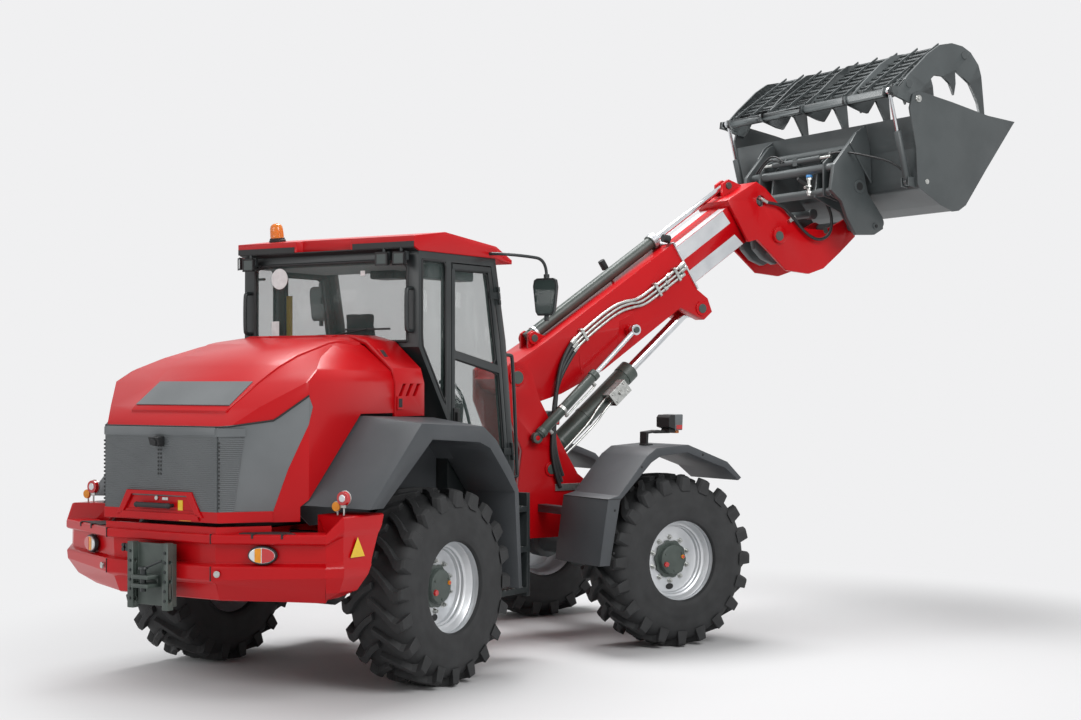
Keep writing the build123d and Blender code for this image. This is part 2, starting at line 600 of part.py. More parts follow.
with BuildPart() as cab:
    plate(REAR_CENTRE, CAB_SIDE, CAB_HALF_WIDTH, both=True)
    plate(REAR_CENTRE, CAB_INSIDE, CAB_HALF_WIDTH - CAB_WALL, both=True, mode=Mode.SUBTRACT)
    plate(REAR_CENTRE, DOOR_WAY, CAB_HALF_WIDTH + 10, both=True, mode=Mode.SUBTRACT)
    plate(REAR_CENTRE, QUARTER_PANE, CAB_HALF_WIDTH + 10, both=True, mode=Mode.SUBTRACT)
    plate(across(0, -1400), [(-700, 2330), (700, 2330), (700, 2900), (-700, 2900)], 80, mode=Mode.SUBTRACT)
    plate(across(0, -470), [(-720, 1450), (720, 1450), (700, 2890), (-700, 2890)], 400, mode=Mode.SUBTRACT)
    for hand in HANDS.values():
        for low in STRAP_LOW:
            for start, end in ((low - 40, low - 4), (low + STRAP + 4, low + STRAP + 40)):
                knuckle(hand, start, end, KNUCKLE)
                foot = [(pillar_x(start) - 8, start), (pillar_x(start) + 8, start), (pillar_x(end) + 8, end), (pillar_x(end) - 8, end)]
                slab(0, hand, CAB_HALF_WIDTH - 5, DOOR_HINGE_Y, foot)
            knuckle(hand, low - 10, low + STRAP + 10, KNUCKLE_PIN)
finish(cab, "cab_frame")

SCREEN_FRONT = [(-181, 1450), (-189, 1450), (-307, 2350), (-424, 2890), (-416, 2890), (-299, 2350)]
with BuildPart() as cab_glass:
    for y in (CAB_HALF_WIDTH - 15, -CAB_HALF_WIDTH + 15 + GLASS):
        plate(side(0, y=y), QUARTER_PANE, GLASS)
    plate(across(0, -1375), [(-700, 2330), (700, 2330), (700, 2900), (-700, 2900)], GLASS)
    plate(REAR_CENTRE, SCREEN_FRONT, 700, both=True)
finish(cab_glass, "cab_glass")

for name, hand in HANDS.items():
    face = CAB_HALF_WIDTH if hand > 0 else -CAB_HALF_WIDTH + CAB_WALL
    with BuildPart() as door:
        plate(side(0, y=face), DOOR, CAB_WALL)
        plate(side(0, y=face), UPPER_PANE, CAB_WALL, mode=Mode.SUBTRACT)
        plate(side(0, y=face), LOWER_PANE, CAB_WALL, mode=Mode.SUBTRACT)
        for low in STRAP_LOW:
            high = low + STRAP
            strap = [(pillar_x(low), low), (pillar_x(low) - 110, low), (pillar_x(high) - 110, high), (pillar_x(high), high)]
            slab(0, hand, CAB_HALF_WIDTH + 2, CAB_HALF_WIDTH + 12, strap)
            pad = [(pillar_x(low) - 65, low), (pillar_x(low) - 110, low), (pillar_x(high) - 110, high), (pillar_x(high) - 65, high)]
            slab(0, hand, CAB_HALF_WIDTH - 5, CAB_HALF_WIDTH + 12, pad)
            knuckle(hand, low, high, KNUCKLE)
            knuckle(hand, low - 1, high + 1, KNUCKLE_PIN + PIN_GAP, mode=Mode.SUBTRACT)
    finish(door, f"door_{name}")
    with BuildPart() as door_glass:
        plate(side(0, y=hand * (CAB_HALF_WIDTH - CAB_WALL / 2) + GLASS / 2), UPPER_PANE, GLASS)
        plate(side(0, y=hand * (CAB_HALF_WIDTH - CAB_WALL / 2) + GLASS / 2), LOWER_PANE, GLASS)
    finish(door_glass, f"door_glass_{name}")

# Roof with its overhang and the notch in its rear edge
with BuildPart() as roof:
    outline = [
        (-1450, 2985), (-1450, 3060), (-1083, CAB_ROOF_TOP), (-430, 3050), (-215, 2960), (-215, 2930),
        (-430, 2960), (-1386, 2960),
    ]
    plate(REAR_CENTRE, outline, CAB_HALF_WIDTH + 10, both=True)
    plate(plan(0, 2900), [(-1500, -267), (-1400, -230), (-1400, 230), (-1500, 267)], 300, mode=Mode.SUBTRACT)
finish(roof, "cab_roof")

# Seat and controls inside the cab
with BuildPart() as seat:
    base = [(-950, CAB_FLOOR + CAB_WALL), (-620, CAB_FLOOR + CAB_WALL), (-560, 1640), (-960, 1640)]
    plate(REAR_CENTRE, base, 180, both=True)
    cushion = [(-980, 1640), (-520, 1640), (-500, 1760), (-960, 1760)]
    plate(REAR_CENTRE, cushion, 260, both=True)
    back = [(-960, 1760), (-840, 1760), (-960, 2350), (-1060, 2350)]
    plate(REAR_CENTRE, back, 240, both=True)
    head_rest = [(-1060, 2350), (-960, 2350), (-985, 2560), (-1065, 2560)]
    plate(REAR_CENTRE, head_rest, 130, both=True)
finish(seat, "driver_seat")

with BuildPart() as controls:
    column = [(-360, CAB_FLOOR + CAB_WALL), (-260, CAB_FLOOR + CAB_WALL), (-340, 1900), (-430, 1890)]
    plate(REAR_CENTRE, column, 90, both=True)
    wheel_start = spot(0, -400, 0, 1880)
    bar(wheel_start, wheel_start + Vector(-30, 0, 40), 165, sides=BAR_SIDES)
    console = [(-900, CAB_FLOOR + CAB_WALL), (-500, CAB_FLOOR + CAB_WALL), (-420, 1900), (-600, 2000), (-900, 1950)]
    plate(side(0, y=-340), console, 180)
finish(controls, "cab_controls")

# Steps and tank below the cab
STEP_OUT = 960
STEP_IN = 850
with BuildPart() as steps:
    for hand in HANDS.values():
        step_face = side(0, y=max(hand * STEP_OUT, hand * STEP_IN))
        tank = [(-690, 560), (-230, 560), (-230, CAB_FLOOR - 10), (-690, CAB_FLOOR - 10)]
        slab(0, hand, CHASSIS_HALF_WIDTH + SEAT, STEP_IN, tank)
        for z in (480, 780, 1080):
            tread = [(-720, z), (-200, z), (-200, z + 40), (-720, z + 40)]
            plate(step_face, tread, STEP_OUT - STEP_IN)
        for x in (-720, -240):
            post = [(x, 450), (x + 40, 450), (x + 40, CAB_FLOOR - 10), (x, CAB_FLOOR - 10)]
            plate(step_face, post, STEP_OUT - STEP_IN)
finish(steps, "steps")

# Mirrors on their arms
with BuildPart() as mirrors:
    for hand in (-1, 1):
        housing = [(-90, -100), (90, -100), (105, 180), (-105, 180)]
        plate(across(0, -185, z=2640, y=hand * 1080), housing, 55)
        pipe(
            [spot(0, -520, hand * (CAB_HALF_WIDTH + 10.3), 2990), spot(0, -520, hand * 880, 2990), spot(0, -158, hand * 1080, 2960),
             spot(0, -158, hand * 1080, 2820)],
            12, 30,
        )
finish(mirrors, "mirrors")

with BuildPart() as rails:
    for hand in (-1, 1):
        pipe(
            [spot(0, -272.9, hand * 770, 2250), spot(0, -150, hand * 770, 2250), spot(0, -80, hand * 770, 1325),
             spot(0, -168.3, hand * 770, 1325)],
            14, 40,
        )
        pipe(
            [spot(0, -1386.3, hand * 740, 2700), spot(0, -1450, hand * 740, 2700), spot(0, -1450, hand * 740, 2400),
             spot(0, -1386.3, hand * 740, 2400)],
            14, 30,
        )
finish(rails, "grab_rails")

# Lamps
LAMP_Z = 2905
with BuildPart() as work_lamps:
    for x, y in ((-1475, 690), (-1475, -690), (-1475, -540)):
        plate(across(0, x, z=LAMP_Z, y=y), [(-50, -45), (50, -45), (50, 45), (-50, 45)], 60)
        bar(spot(0, x + 35, y, LAMP_Z + 40), spot(0, x + 35, y, 2975.8), 12, sides=PIPE_SIDES)
finish(work_lamps, "work_lamps")

ROOF_NORMAL = Vector(-50, 0, 367).normalized()
with BuildPart() as beacon:
    foot = spot(0, -1250, 600, 3087.5) + ROOF_NORMAL * 0.3
    bar(foot, foot + ROOF_NORMAL * 30, 62, sides=BAR_SIDES)
    bar(foot + ROOF_NORMAL * 30, foot + ROOF_NORMAL * 140, 52, sides=BAR_SIDES)
finish(beacon, "beacon")

with BuildPart() as tail_lamps:
    for hand in (-1, 1):
        lamp = spot(0, TAIL_LAMP[0], hand * TAIL_LAMP[1], TAIL_LAMP[2])
        bar(lamp - Vector(25, 0, 0), lamp + Vector(30, 0, 0), TAIL_LAMP_RADIUS, sides=BAR_SIDES)
        bar(spot(0, -2600, hand * 1104, 1322), spot(0, -2572, hand * 1104, 1322), 45, sides=BAR_SIDES)
        bar(spot(0, -2588, hand * 1104, BUMPER_TOP + 110.3), spot(0, -2588, hand * 1104, 1322), 12, sides=PIPE_SIDES)
finish(tail_lamps, "tail_lamps")

# Front frame: the tower's two plates, the deck, the axle saddle and the pivot's fork
TOWER_HALF_WIDTH = 250
TOWER_PLATE = 40
TOWER = [
    (430, 1000), (560, 1200), (600, 1500), (430, 1900), (430, 2140), (500, 2200), (620, 2200), (690, 2120),
    (760, 1910), (823, 1800), (920, 1632), (1030, 1450), (1125, 1303), (1204, 1245), (1700, 1150), (1760, 1000),
    (1760, 800), (430, 800),
]
with BuildPart() as front_chassis:
    for y in (TOWER_HALF_WIDTH, -TOWER_HALF_WIDTH + TOWER_PLATE):
        plate(side(STEER, y=y), TOWER, TOWER_PLATE)
    for y in (TOWER_HALF_WIDTH, -TOWER_HALF_WIDTH + TOWER_PLATE):
        disc(side(STEER, y=y), (BOOM_PIVOT_X, BOOM_PIVOT_Z), 60, TOWER_PLATE, mode=Mode.SUBTRACT)
    disc(FRONT_CENTRE, LIFT_BASE, LIFT_PIN, TOWER_HALF_WIDTH - 1, both=True)
    for y in (LEVEL_Y + 20, -TOWER_HALF_WIDTH + 1):
        disc(side(STEER, y=y), LEVEL_BASE, LEVEL_PIN, LEVEL_Y + 21 - TOWER_HALF_WIDTH)
    deck = [(430, 800), (1760, 800), (1760, 840), (430, 840)]
    plate(FRONT_CENTRE, deck, TOWER_HALF_WIDTH, both=True)
    saddle = [(FRONT_AXLE_X - 150, 700), (FRONT_AXLE_X + 150, 700), (FRONT_AXLE_X + 150, 800), (FRONT_AXLE_X - 150, 800)]
    plate(FRONT_CENTRE, saddle, 330, both=True)
    bar(spot(STEER, FRONT_AXLE_X, -340, TYRE_RADIUS), spot(STEER, FRONT_AXLE_X, 340, TYRE_RADIUS), AXLE_RADIUS,
        mode=Mode.SUBTRACT, sides=BAR_SIDES)
    bar(spot(STEER, FRONT_AXLE_X, -190, TYRE_RADIUS), spot(STEER, FRONT_AXLE_X, 190, TYRE_RADIUS), 195,
        mode=Mode.SUBTRACT, sides=BAR_SIDES)
    wall = [(430, 500), (470, 500), (470, 1060), (430, 1060)]
    plate(FRONT_CENTRE, wall, 330, both=True)
    notch = [(429, STEER_Z - 65), (525, STEER_Z - 65), (525, STEER_Z + 65), (429, STEER_Z + 65)]
    plate(side(STEER, y=-180), notch, 160, mode=Mode.SUBTRACT)
    for z in (STEER_Z - 85, STEER_Z + 65):
        plate(plan(STEER, z, STEER_EYE_X, STEER_EYE_Y), [(-40, -40), (45, -40), (45, 40), (-40, 40)], 20)
    for z in (TONGUE_TOP + GAP, TONGUE_TOP - TONGUE - GAP - 40, TONGUE_LOW + TONGUE + GAP, TONGUE_LOW - GAP - 40):
        fork = [(440, -240), (0, -90), (0, 90), (440, 240)]
        plate(plan(STEER, z), fork, 40)
        disc(plan(STEER, z), (0, 0), 90, 40, sides=BAR_SIDES)
    bar(spot(STEER, 0, 0, TONGUE_LOW - GAP - 40), spot(STEER, 0, 0, TONGUE_TOP + GAP + 40), PIVOT_PIN_RADIUS)
finish(front_chassis, "front_chassis")

FRONT_FENDER_OUTER = [
    (671, 667), (750, 1166), (849, 1190), (1107, 1480), (1200, 1540), (1500, 1560), (1880, 1420), (2020, 1290),
    (1990, 1270), (1860, 1370), (1490, 1500), (1240, 1480), (1150, 1430), (860, 1150), (765, 667),
]
with BuildPart() as front_fenders:
    for hand in HANDS.values():
        inner, outer = sorted((hand * 620, hand * BODY_HALF_WIDTH))
        plate(side(STEER, y=outer), FRONT_FENDER_OUTER, outer - inner)
        slab(STEER, hand, TOWER_HALF_WIDTH + SEAT, 625, [(745, 1010), (825, 1010), (825, 1070), (745, 1070)])
finish(front_fenders, "front_fenders")

with BuildPart() as headlamps:
    for hand in (-1, 1):
        bar(spot(STEER, 1330, hand * 900, 1551), spot(STEER, 1330, hand * 900, 1600), 30, sides=BAR_SIDES)
        arm = [(1300, 1590), (1560, 1620), (1560, 1660), (1300, 1620)]
        plate(side(STEER, y=hand * 900 + 20), arm, 40)
        plate(side(STEER, y=hand * 900 + 90), [(1500, 1640), (1640, 1640), (1640, 1790), (1500, 1790)], 180)
finish(headlamps, "headlamps")

TELESCOPE_V = 125
TELESCOPE_ROD = 28

# Outer boom: a box with its rear pivot, its lugs and the slots for the side rods
with BuildPart() as boom:
    web = [
        (-110, -40), (-110, 60), (60, 90), (420, BOOM_TOP + 10), (BOOM_END, BOOM_TOP), (BOOM_END, -390),
        (1985, -520), (1960, -640), (1850, -650), (1700, BOOM_BOTTOM), (745, BOOM_BOTTOM), (300, -360), (110, -300), (-60, -110),
    ]
    plate(boom_plane(), web, BOOM_HALF_WIDTH - SLIDE_GAP, both=True)
    plate(boom_plane(), [(200, INNER_BOTTOM - SLIDE_GAP), (200, INNER_TOP + SLIDE_GAP), (BOOM_END + 50, INNER_TOP + SLIDE_GAP),
                         (BOOM_END + 50, INNER_BOTTOM - SLIDE_GAP)], BOOM_HALF_WIDTH - SLIDE_GAP - BOOM_WALL, both=True, mode=Mode.SUBTRACT)
    plate(boom_plane(), [(300, -700), (300, -372), (2000, -372), (2000, -700)], 85, both=True, mode=Mode.SUBTRACT)
    disc(boom_plane(), (0, 0), 110, TOWER_HALF_WIDTH - TOWER_PLATE - GAP, both=True, sides=BAR_SIDES)
    disc(boom_plane(), (0, 0), 60 - PIN_GAP, TOWER_HALF_WIDTH + 15, both=True)
    for hand in HANDS.values():
        start, end = sorted((hand * (BOOM_HALF_WIDTH - SLIDE_GAP - 10), hand * (LEVEL_Y - 35)))
        disc(boom_plane(end), on_boom(LEVEL_EYE), 45, end - start, sides=BAR_SIDES)
    pad = [(BOOM_END - 120, INNER_BOTTOM - SLIDE_GAP - 1), (BOOM_END, INNER_BOTTOM - SLIDE_GAP - 1),
           (BOOM_END, INNER_BOTTOM - PIN_GAP), (BOOM_END - 120, INNER_BOTTOM - PIN_GAP)]
    plate(boom_plane(), pad, 80, both=True)
finish(boom, "outer_boom")

INNER_HALF_WIDTH = BOOM_HALF_WIDTH - SLIDE_GAP - BOOM_WALL - SLIDE_GAP
HEAD = [
    (HEAD_START, INNER_TOP), (HEAD_START, 75), (2990, 45), (3045, -50), (3180, -540), (3430, -720), (3700, -760),
    (3780, -860), (3700, -950), (3460, -975), (3220, -990), (3050, -940), (2850, -780), (2780, -560), (2720, -380),
    (HEAD_START, -345),
]
HEAD_PLATE_Y = 225
with BuildPart() as inner_boom:
    plate(boom_plane(), [(INNER_START, INNER_BOTTOM), (2700, INNER_BOTTOM), (2700, INNER_TOP), (INNER_START, INNER_TOP)], INNER_HALF_WIDTH, both=True)
    plate(boom_plane(), [(INNER_START - 10, INNER_BOTTOM + INNER_WALL), (2680, INNER_BOTTOM + INNER_WALL), (2680, INNER_TOP - INNER_WALL),
                         (INNER_START - 10, INNER_TOP - INNER_WALL)], INNER_HALF_WIDTH - INNER_WALL, both=True, mode=Mode.SUBTRACT)
    for y in (HEAD_PLATE_Y, -HEAD_PLATE_Y + NOSE_PLATE):
        plate(boom_plane(y), HEAD, NOSE_PLATE)
    plate(boom_plane(), [(2670, -331), (2710, -331), (2710, -90), (2670, -90)], 130, both=True, mode=Mode.SUBTRACT)
    brow = [(HEAD_START, INNER_TOP), (HEAD_START, 75), (2990, 45), (3045, -50), (3025, -55), (2975, 20), (2700, INNER_TOP)]
    plate(boom_plane(), brow, HEAD_PLATE_Y - 5, both=True)
    heel = [(INNER_START + 5, INNER_TOP - 1), (INNER_START + 120, INNER_TOP - 1), (INNER_START + 120, INNER_TOP + SLIDE_GAP - PIN_GAP),
            (INNER_START + 5, INNER_TOP + SLIDE_GAP - PIN_GAP)]
    plate(boom_plane(), heel, 120, both=True)
    for y in (NOSE_HALF_WIDTH, -HEAD_PLATE_Y):
        disc(boom_plane(y), on_boom(LEVER_PIN), 75, NOSE_HALF_WIDTH - HEAD_PLATE_Y, sides=BAR_SIDES)
    disc(boom_plane(), on_boom(COUPLER_PIN), 50, NOSE_HALF_WIDTH, both=True, mode=Mode.SUBTRACT)
    disc(boom_plane(), (2939, -120), 50, NOSE_HALF_WIDTH, both=True, mode=Mode.SUBTRACT)
    disc(boom_plane(), on_boom(LEVER_PIN), 40 - PIN_GAP, NOSE_HALF_WIDTH, both=True)
    plate(boom_plane(), [(2700, 50), (2780, 165), (2860, 165), (2960, 40)], 60, both=True)
    plate(boom_plane(), [(2600, 76), (2600, 200), (2990, 200), (2990, 76)], TELESCOPE_ROD + SEAT, both=True, mode=Mode.SUBTRACT)
finish(inner_boom, "inner_boom")

# Telescope cylinder on top of the boom

def boom_spot(u, v, y=0):
    """A point along and square to the boom."""
    plane = boom_plane(y)
    return plane.origin + plane.x_dir * u + plane.y_dir * v


with BuildPart() as telescope_barrel:
    bar(boom_spot(430, TELESCOPE_V), boom_spot(1925, TELESCOPE_V), 52)
    bar(boom_spot(1860, TELESCOPE_V), boom_spot(1925, TELESCOPE_V), TELESCOPE_V - BOOM_TOP - 3 * SEAT)
    foot = [(380, 73), (440, 73), (440, TELESCOPE_V + 45), (380, TELESCOPE_V + 45)]
    plate(boom_plane(), foot, 30, both=True)
    bar(boom_spot(790, TELESCOPE_V), boom_spot(1926, TELESCOPE_V), TELESCOPE_ROD + PIN_GAP, mode=Mode.SUBTRACT)
finish(telescope_barrel, "telescope_barrel")

with BuildPart() as telescope_rod:
    bar(boom_spot(1500, TELESCOPE_V), boom_spot(2830, TELESCOPE_V), TELESCOPE_ROD)
finish(telescope_rod, "telescope_rod")


def cylinder(base, eye, y_list, barrel_radius, rod_radius, barrel_length, rod_start, eye_radius, eye_width, pin_radius, names):
    """A hydraulic cylinder between two pins of the front frame, its barrel bored for the rod."""
    length = hypot(eye[0] - base[0], eye[1] - base[1])

    def reach(run):
        return between(base, eye, run / length)

    with BuildPart() as barrel:
        for y in y_list:
            bar(in_front(reach(eye_radius * 0.7), y), in_front(reach(barrel_length), y), barrel_radius, sides=BAR_SIDES)
            disc(side(STEER, y=y), base, eye_radius, eye_width / 2, both=True, sides=BAR_SIDES)
            disc(side(STEER, y=y), base, pin_radius + PIN_GAP, eye_width / 2, both=True, mode=Mode.SUBTRACT)
            bar(in_front(reach(eye_radius + 40), y), in_front(reach(barrel_length + 1), y), rod_radius + PIN_GAP, mode=Mode.SUBTRACT)
    finish(barrel, names[0])
    with BuildPart() as rod:
        for y in y_list:
            bar(in_front(reach(rod_start), y), in_front(reach(length - eye_radius * 0.7), y), rod_radius)
            disc(side(STEER, y=y), eye, eye_radius, eye_width / 2, both=True, sides=BAR_SIDES)
            disc(side(STEER, y=y), eye, pin_radius + PIN_GAP, eye_width / 2, both=True, mode=Mode.SUBTRACT)
    finish(rod, names[1])


cylinder(LIFT_BASE, LIFT_EYE, [0], 85, 45, 1230, 990, 75, 120, LIFT_PIN, ("lift_barrel", "lift_rod"))
cylinder(LEVEL_BASE, LEVEL_EYE, [LEVEL_Y, -LEVEL_Y], 42, 20, 760, 630, 45, 44, LEVEL_PIN, ("levelling_barrels", "levelling_rods"))

# Tilt lever and link inside the nose
LEVER_HUB = 55
with BuildPart() as lever:
    shape = [(2789, -340), (2972, -369), (3010, -470), (3000, -600), (2940, -725), (2850, -710), (2770, -600), (2740, -480)]
    plate(boom_plane(), shape, 110, both=True)
    u, v = on_boom(LEVER_END)
    arm = [(2925, -375), (u + 30, v + 42), (u - 25, v + 42), (u - 45, v), (u - 35, v - 40), (2770, -380)]
    plate(boom_plane(), arm, 90, both=True)
    plate(boom_plane(), [(2600, -800), (3100, -800), (3100, -100), (2600, -100)], 50, both=True, mode=Mode.SUBTRACT)
    disc(FRONT_CENTRE, LEVER_PIN, LEVER_HUB, 60, both=True, sides=BAR_SIDES)
    disc(FRONT_CENTRE, LEVER_PIN, 40, 200, both=True, mode=Mode.SUBTRACT)
    disc(FRONT_CENTRE, LEVER_END, LINK_PIN, 88, both=True)
finish(lever, "tilt_lever")

with BuildPart() as link:
    disc(FRONT_CENTRE, LEVER_END, 48, 40, both=True, sides=BAR_SIDES)
    bar(in_front(LEVER_END), in_front(LINK_EYE), 35, sides=BAR_SIDES)
    disc(FRONT_CENTRE, LINK_EYE, 48, 40, both=True, sides=BAR_SIDES)
    disc(FRONT_CENTRE, LEVER_END, LINK_PIN + PIN_GAP, 41, both=True, mode=Mode.SUBTRACT)
finish(link, "tilt_link")

# Quick coupler: side hook plates, ribs and cross tubes, hung on the nose's pin
COUPLER_SIDE = [
    (3551, 3936), (3820, 4240), (3880, 4262), (3890, 3900), (3940, 3710), (4118, 3500), (4120, 3400), (4017, 3344),
    (3806, 3334), (3700, 3485), (3640, 3620), (3514, 3713),
]
with BuildPart() as coupler:
    for y in (620, -620 + 40):
        plate(side(STEER, y=y), COUPLER_SIDE, 40)
    for centre in ((3640, 3930), (3640, 3720), (3830, 4100)):
        bar(in_front(centre, -600), in_front(centre, 600), 40, sides=BAR_SIDES)
    for y in (-560, -420, 460, 600):
        rib = [(3590, 3680), (3590, 3970), (3700, 4070), (3850, 4130), (3850, 3750), (3760, 3640)]
        plate(side(STEER, y=y), rib, 20)
    for y in (-500, -290, 310, 520):
        plate(side(STEER, y=y), [(3600, 3680), (3640, 3960), (3830, 4140), (3890, 4100), (3940, 3720), (4130, 3500), (4140, 3400), (4050, 3385), (3900, 3560)], 20)
    bar(in_front(COUPLER_PIN, -600), in_front(COUPLER_PIN, 600), 50 - PIN_GAP)
finish(coupler, "quick_coupler")

# Bucket: a bent sheet between two side plates
BUCKET_SIDE = [
    (5156, 4359), (5017, 4198), (4546, 3583), (4460, 3530), (4393, 3520), (4254, 3567), (3995, 3700), (3975, 3740), (3957, 4045),
    (3885, 4380), (3920, 4500), (3985, 4530), (4060, 4520), (4383, 4469), (4820, 4387),
]
with BuildPart() as bucket:
    for y in (BUCKET_HALF_WIDTH, -BUCKET_HALF_WIDTH + SIDE_PLATE):
        plate(side(STEER, y=y), BUCKET_SIDE, SIDE_PLATE)
        disc(side(STEER, y=y), GRAB_PIN, 30, SIDE_PLATE, mode=Mode.SUBTRACT)
    with BuildSketch(FRONT_CENTRE) as sheet:
        with BuildLine():
            FilletPolyline(
                (5150, 4355), (4546, 3595), (4400, 3530), (4254, 3580), (3998, 3708), (3970, 4045), (3914, 4312),
                radius=40,
            )
        trace(line_width=BUCKET_PLATE)
    extrude(sheet.sketch, amount=BUCKET_HALF_WIDTH - SIDE_PLATE / 2, dir=FRONT_CENTRE.z_dir, both=True)
    for y in (640, -620.3):
        bracket = [(3720, 4130), (3790, 4230), (3900, 4300), (3950, 4100), (3968, 3800), (3850, 3950)]
        plate(side(STEER, y=y), bracket, 19.7)
    for y in (GRAB_CYLINDER_Y + 37, -GRAB_CYLINDER_Y + 37):
        disc(side(STEER, y=y), GRAB_CYLINDER_BASE, GRAB_PIN_RADIUS, 74)
    for y in (GRAB_CYLINDER_Y + 50, GRAB_CYLINDER_Y - 35, -GRAB_CYLINDER_Y + 50, -GRAB_CYLINDER_Y - 35):
        ear = [(3915, 3725), (3915, 3795), (3985, 3800), (3995, 3710)]
        plate(side(STEER, y=y), ear, 15)
finish(bucket, "bucket")

# Grab: curved jaws with claws on a rear tube, and the slatted back
JAW_Y = BUCKET_HALF_WIDTH - SIDE_PLATE - GAP
JAW = [
    (3690, 4480), (3700, 4545), (3790, 4560), (3910, 4679), (4132, 4873), (4270, 4960), (4409, 4989), (4540, 4975),
    (4640, 4930), (4735, 4830), (4769, 4735), (4790, 4560), (4807, 4400), (4790, 4250), (4760, 4380), (4716, 4508), (4620, 4660),
    (4447, 4759), (4455, 4640), (4434, 4538), (4380, 4640), (4300, 4690), (4200, 4690), (4100, 4600), (4040, 4500), (3980, 4420), (3900, 4430), (3760, 4470),
]
with BuildPart() as grab:
    for y in (JAW_Y, JAW_Y / 2, JAW_PLATE / 2, -JAW_Y / 2 + JAW_PLATE, -JAW_Y + JAW_PLATE):
        plate(side(STEER, y=y), JAW, JAW_PLATE)
    bar(in_front((3755, 4515), -GRAB_CYLINDER_Y + 60), in_front((3755, 4515), GRAB_CYLINDER_Y - 60), 40, sides=BAR_SIDES)
    for y in (GRAB_CYLINDER_Y - 25, -GRAB_CYLINDER_Y + 40):
        plate(side(STEER, y=y), [(3700, 4480), (3700, 4550), (3800, 4560), (4010, 4750), (4040, 4720), (3860, 4500), (3780, 4465)], 15)
    for y in (GRAB_CYLINDER_Y + 60, GRAB_CYLINDER_Y - 20, -GRAB_CYLINDER_Y - 20, -GRAB_CYLINDER_Y + 30):
        disc(side(STEER, y=y), GRAB_CYLINDER_EYE, 24, 12 if abs(y) < GRAB_CYLINDER_Y else 40)
    bar(in_front(GRAB_PIN, -JAW_Y - GAP - SIDE_PLATE), in_front(GRAB_PIN, -JAW_Y + 5), 30 - PIN_GAP)
    bar(in_front(GRAB_PIN, JAW_Y - 5), in_front(GRAB_PIN, JAW_Y + GAP + SIDE_PLATE), 30 - PIN_GAP)
    for share in range(9):
        x, z = between((3850, 4600), (4390, 4975), share / 8)
        plate(FRONT_CENTRE, [(x - 4, z + 3), (x + 12, z - 19), (x + 19, z - 14), (x + 3, z + 8)], JAW_Y - 5, both=True)
finish(grab, "grab")

cylinder(GRAB_CYLINDER_BASE, GRAB_CYLINDER_EYE, [GRAB_CYLINDER_Y, -GRAB_CYLINDER_Y], 32, 16, 440, 320, 35, 36, GRAB_PIN_RADIUS,
         ("grab_barrels", "grab_rods"))

# Steering cylinder, low on the right of the pivot
STEER_BASE = spot(0, STEER_BASE_X, STEER_BASE_Y, STEER_Z)
STEER_EYE = spot(STEER, STEER_EYE_X, STEER_EYE_Y, STEER_Z)
STEER_RUN = (STEER_EYE - STEER_BASE).normalized()
STEER_LEVEL = Vector(0, 0, 34)
with BuildPart() as steer_barrel:
    bar(STEER_BASE + STEER_RUN * 30, STEER_BASE + STEER_RUN * 450, 38, sides=BAR_SIDES)
    bar(STEER_BASE - STEER_LEVEL, STEER_BASE + STEER_LEVEL, 40, sides=BAR_SIDES)
    bar(STEER_BASE - STEER_LEVEL, STEER_BASE + STEER_LEVEL, STEER_PIN + PIN_GAP, mode=Mode.SUBTRACT)
    bar(STEER_BASE + STEER_RUN * 60, STEER_BASE + STEER_RUN * 451, 25 + PIN_GAP, mode=Mode.SUBTRACT)
finish(steer_barrel, "steering_barrel")
with BuildPart() as steer_rod:
    bar(STEER_BASE + STEER_RUN * 160, STEER_EYE - STEER_RUN * 25, 25)
    bar(STEER_EYE - STEER_LEVEL, STEER_EYE + STEER_LEVEL, 35, sides=BAR_SIDES)
    bar(STEER_EYE - STEER_LEVEL, STEER_EYE + STEER_LEVEL, STEER_PIN + PIN_GAP, mode=Mode.SUBTRACT)
finish(steer_rod, "steering_rod")

# Pipes along the outer boom's right flank
with BuildPart() as pipes:
    for step in (0, 1):
        pipe([boom_spot(560, -70 - 45 * step, -BOOM_HALF_WIDTH - 30), boom_spot(1000, -40 - 45 * step, -BOOM_HALF_WIDTH - 30),
              boom_spot(1400, -130 - 45 * step, -BOOM_HALF_WIDTH - 30), boom_spot(1900, -130 - 45 * step, -BOOM_HALF_WIDTH - 30)], 14, 60)
    for u, v in ((700, -85), (1600, -153), (1840, -153)):
        clip = [(u - 15, v - 45), (u + 15, v - 45), (u + 15, v + 45), (u - 15, v + 45)]
        plate(boom_plane(-BOOM_HALF_WIDTH + SLIDE_GAP - SEAT), clip, SLIDE_GAP + 44)
finish(pipes, "boom_pipes")
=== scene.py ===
import json
from math import atan2, cos, pi, radians, sin

import bmesh
import bpy
from mathutils import Matrix, Vector


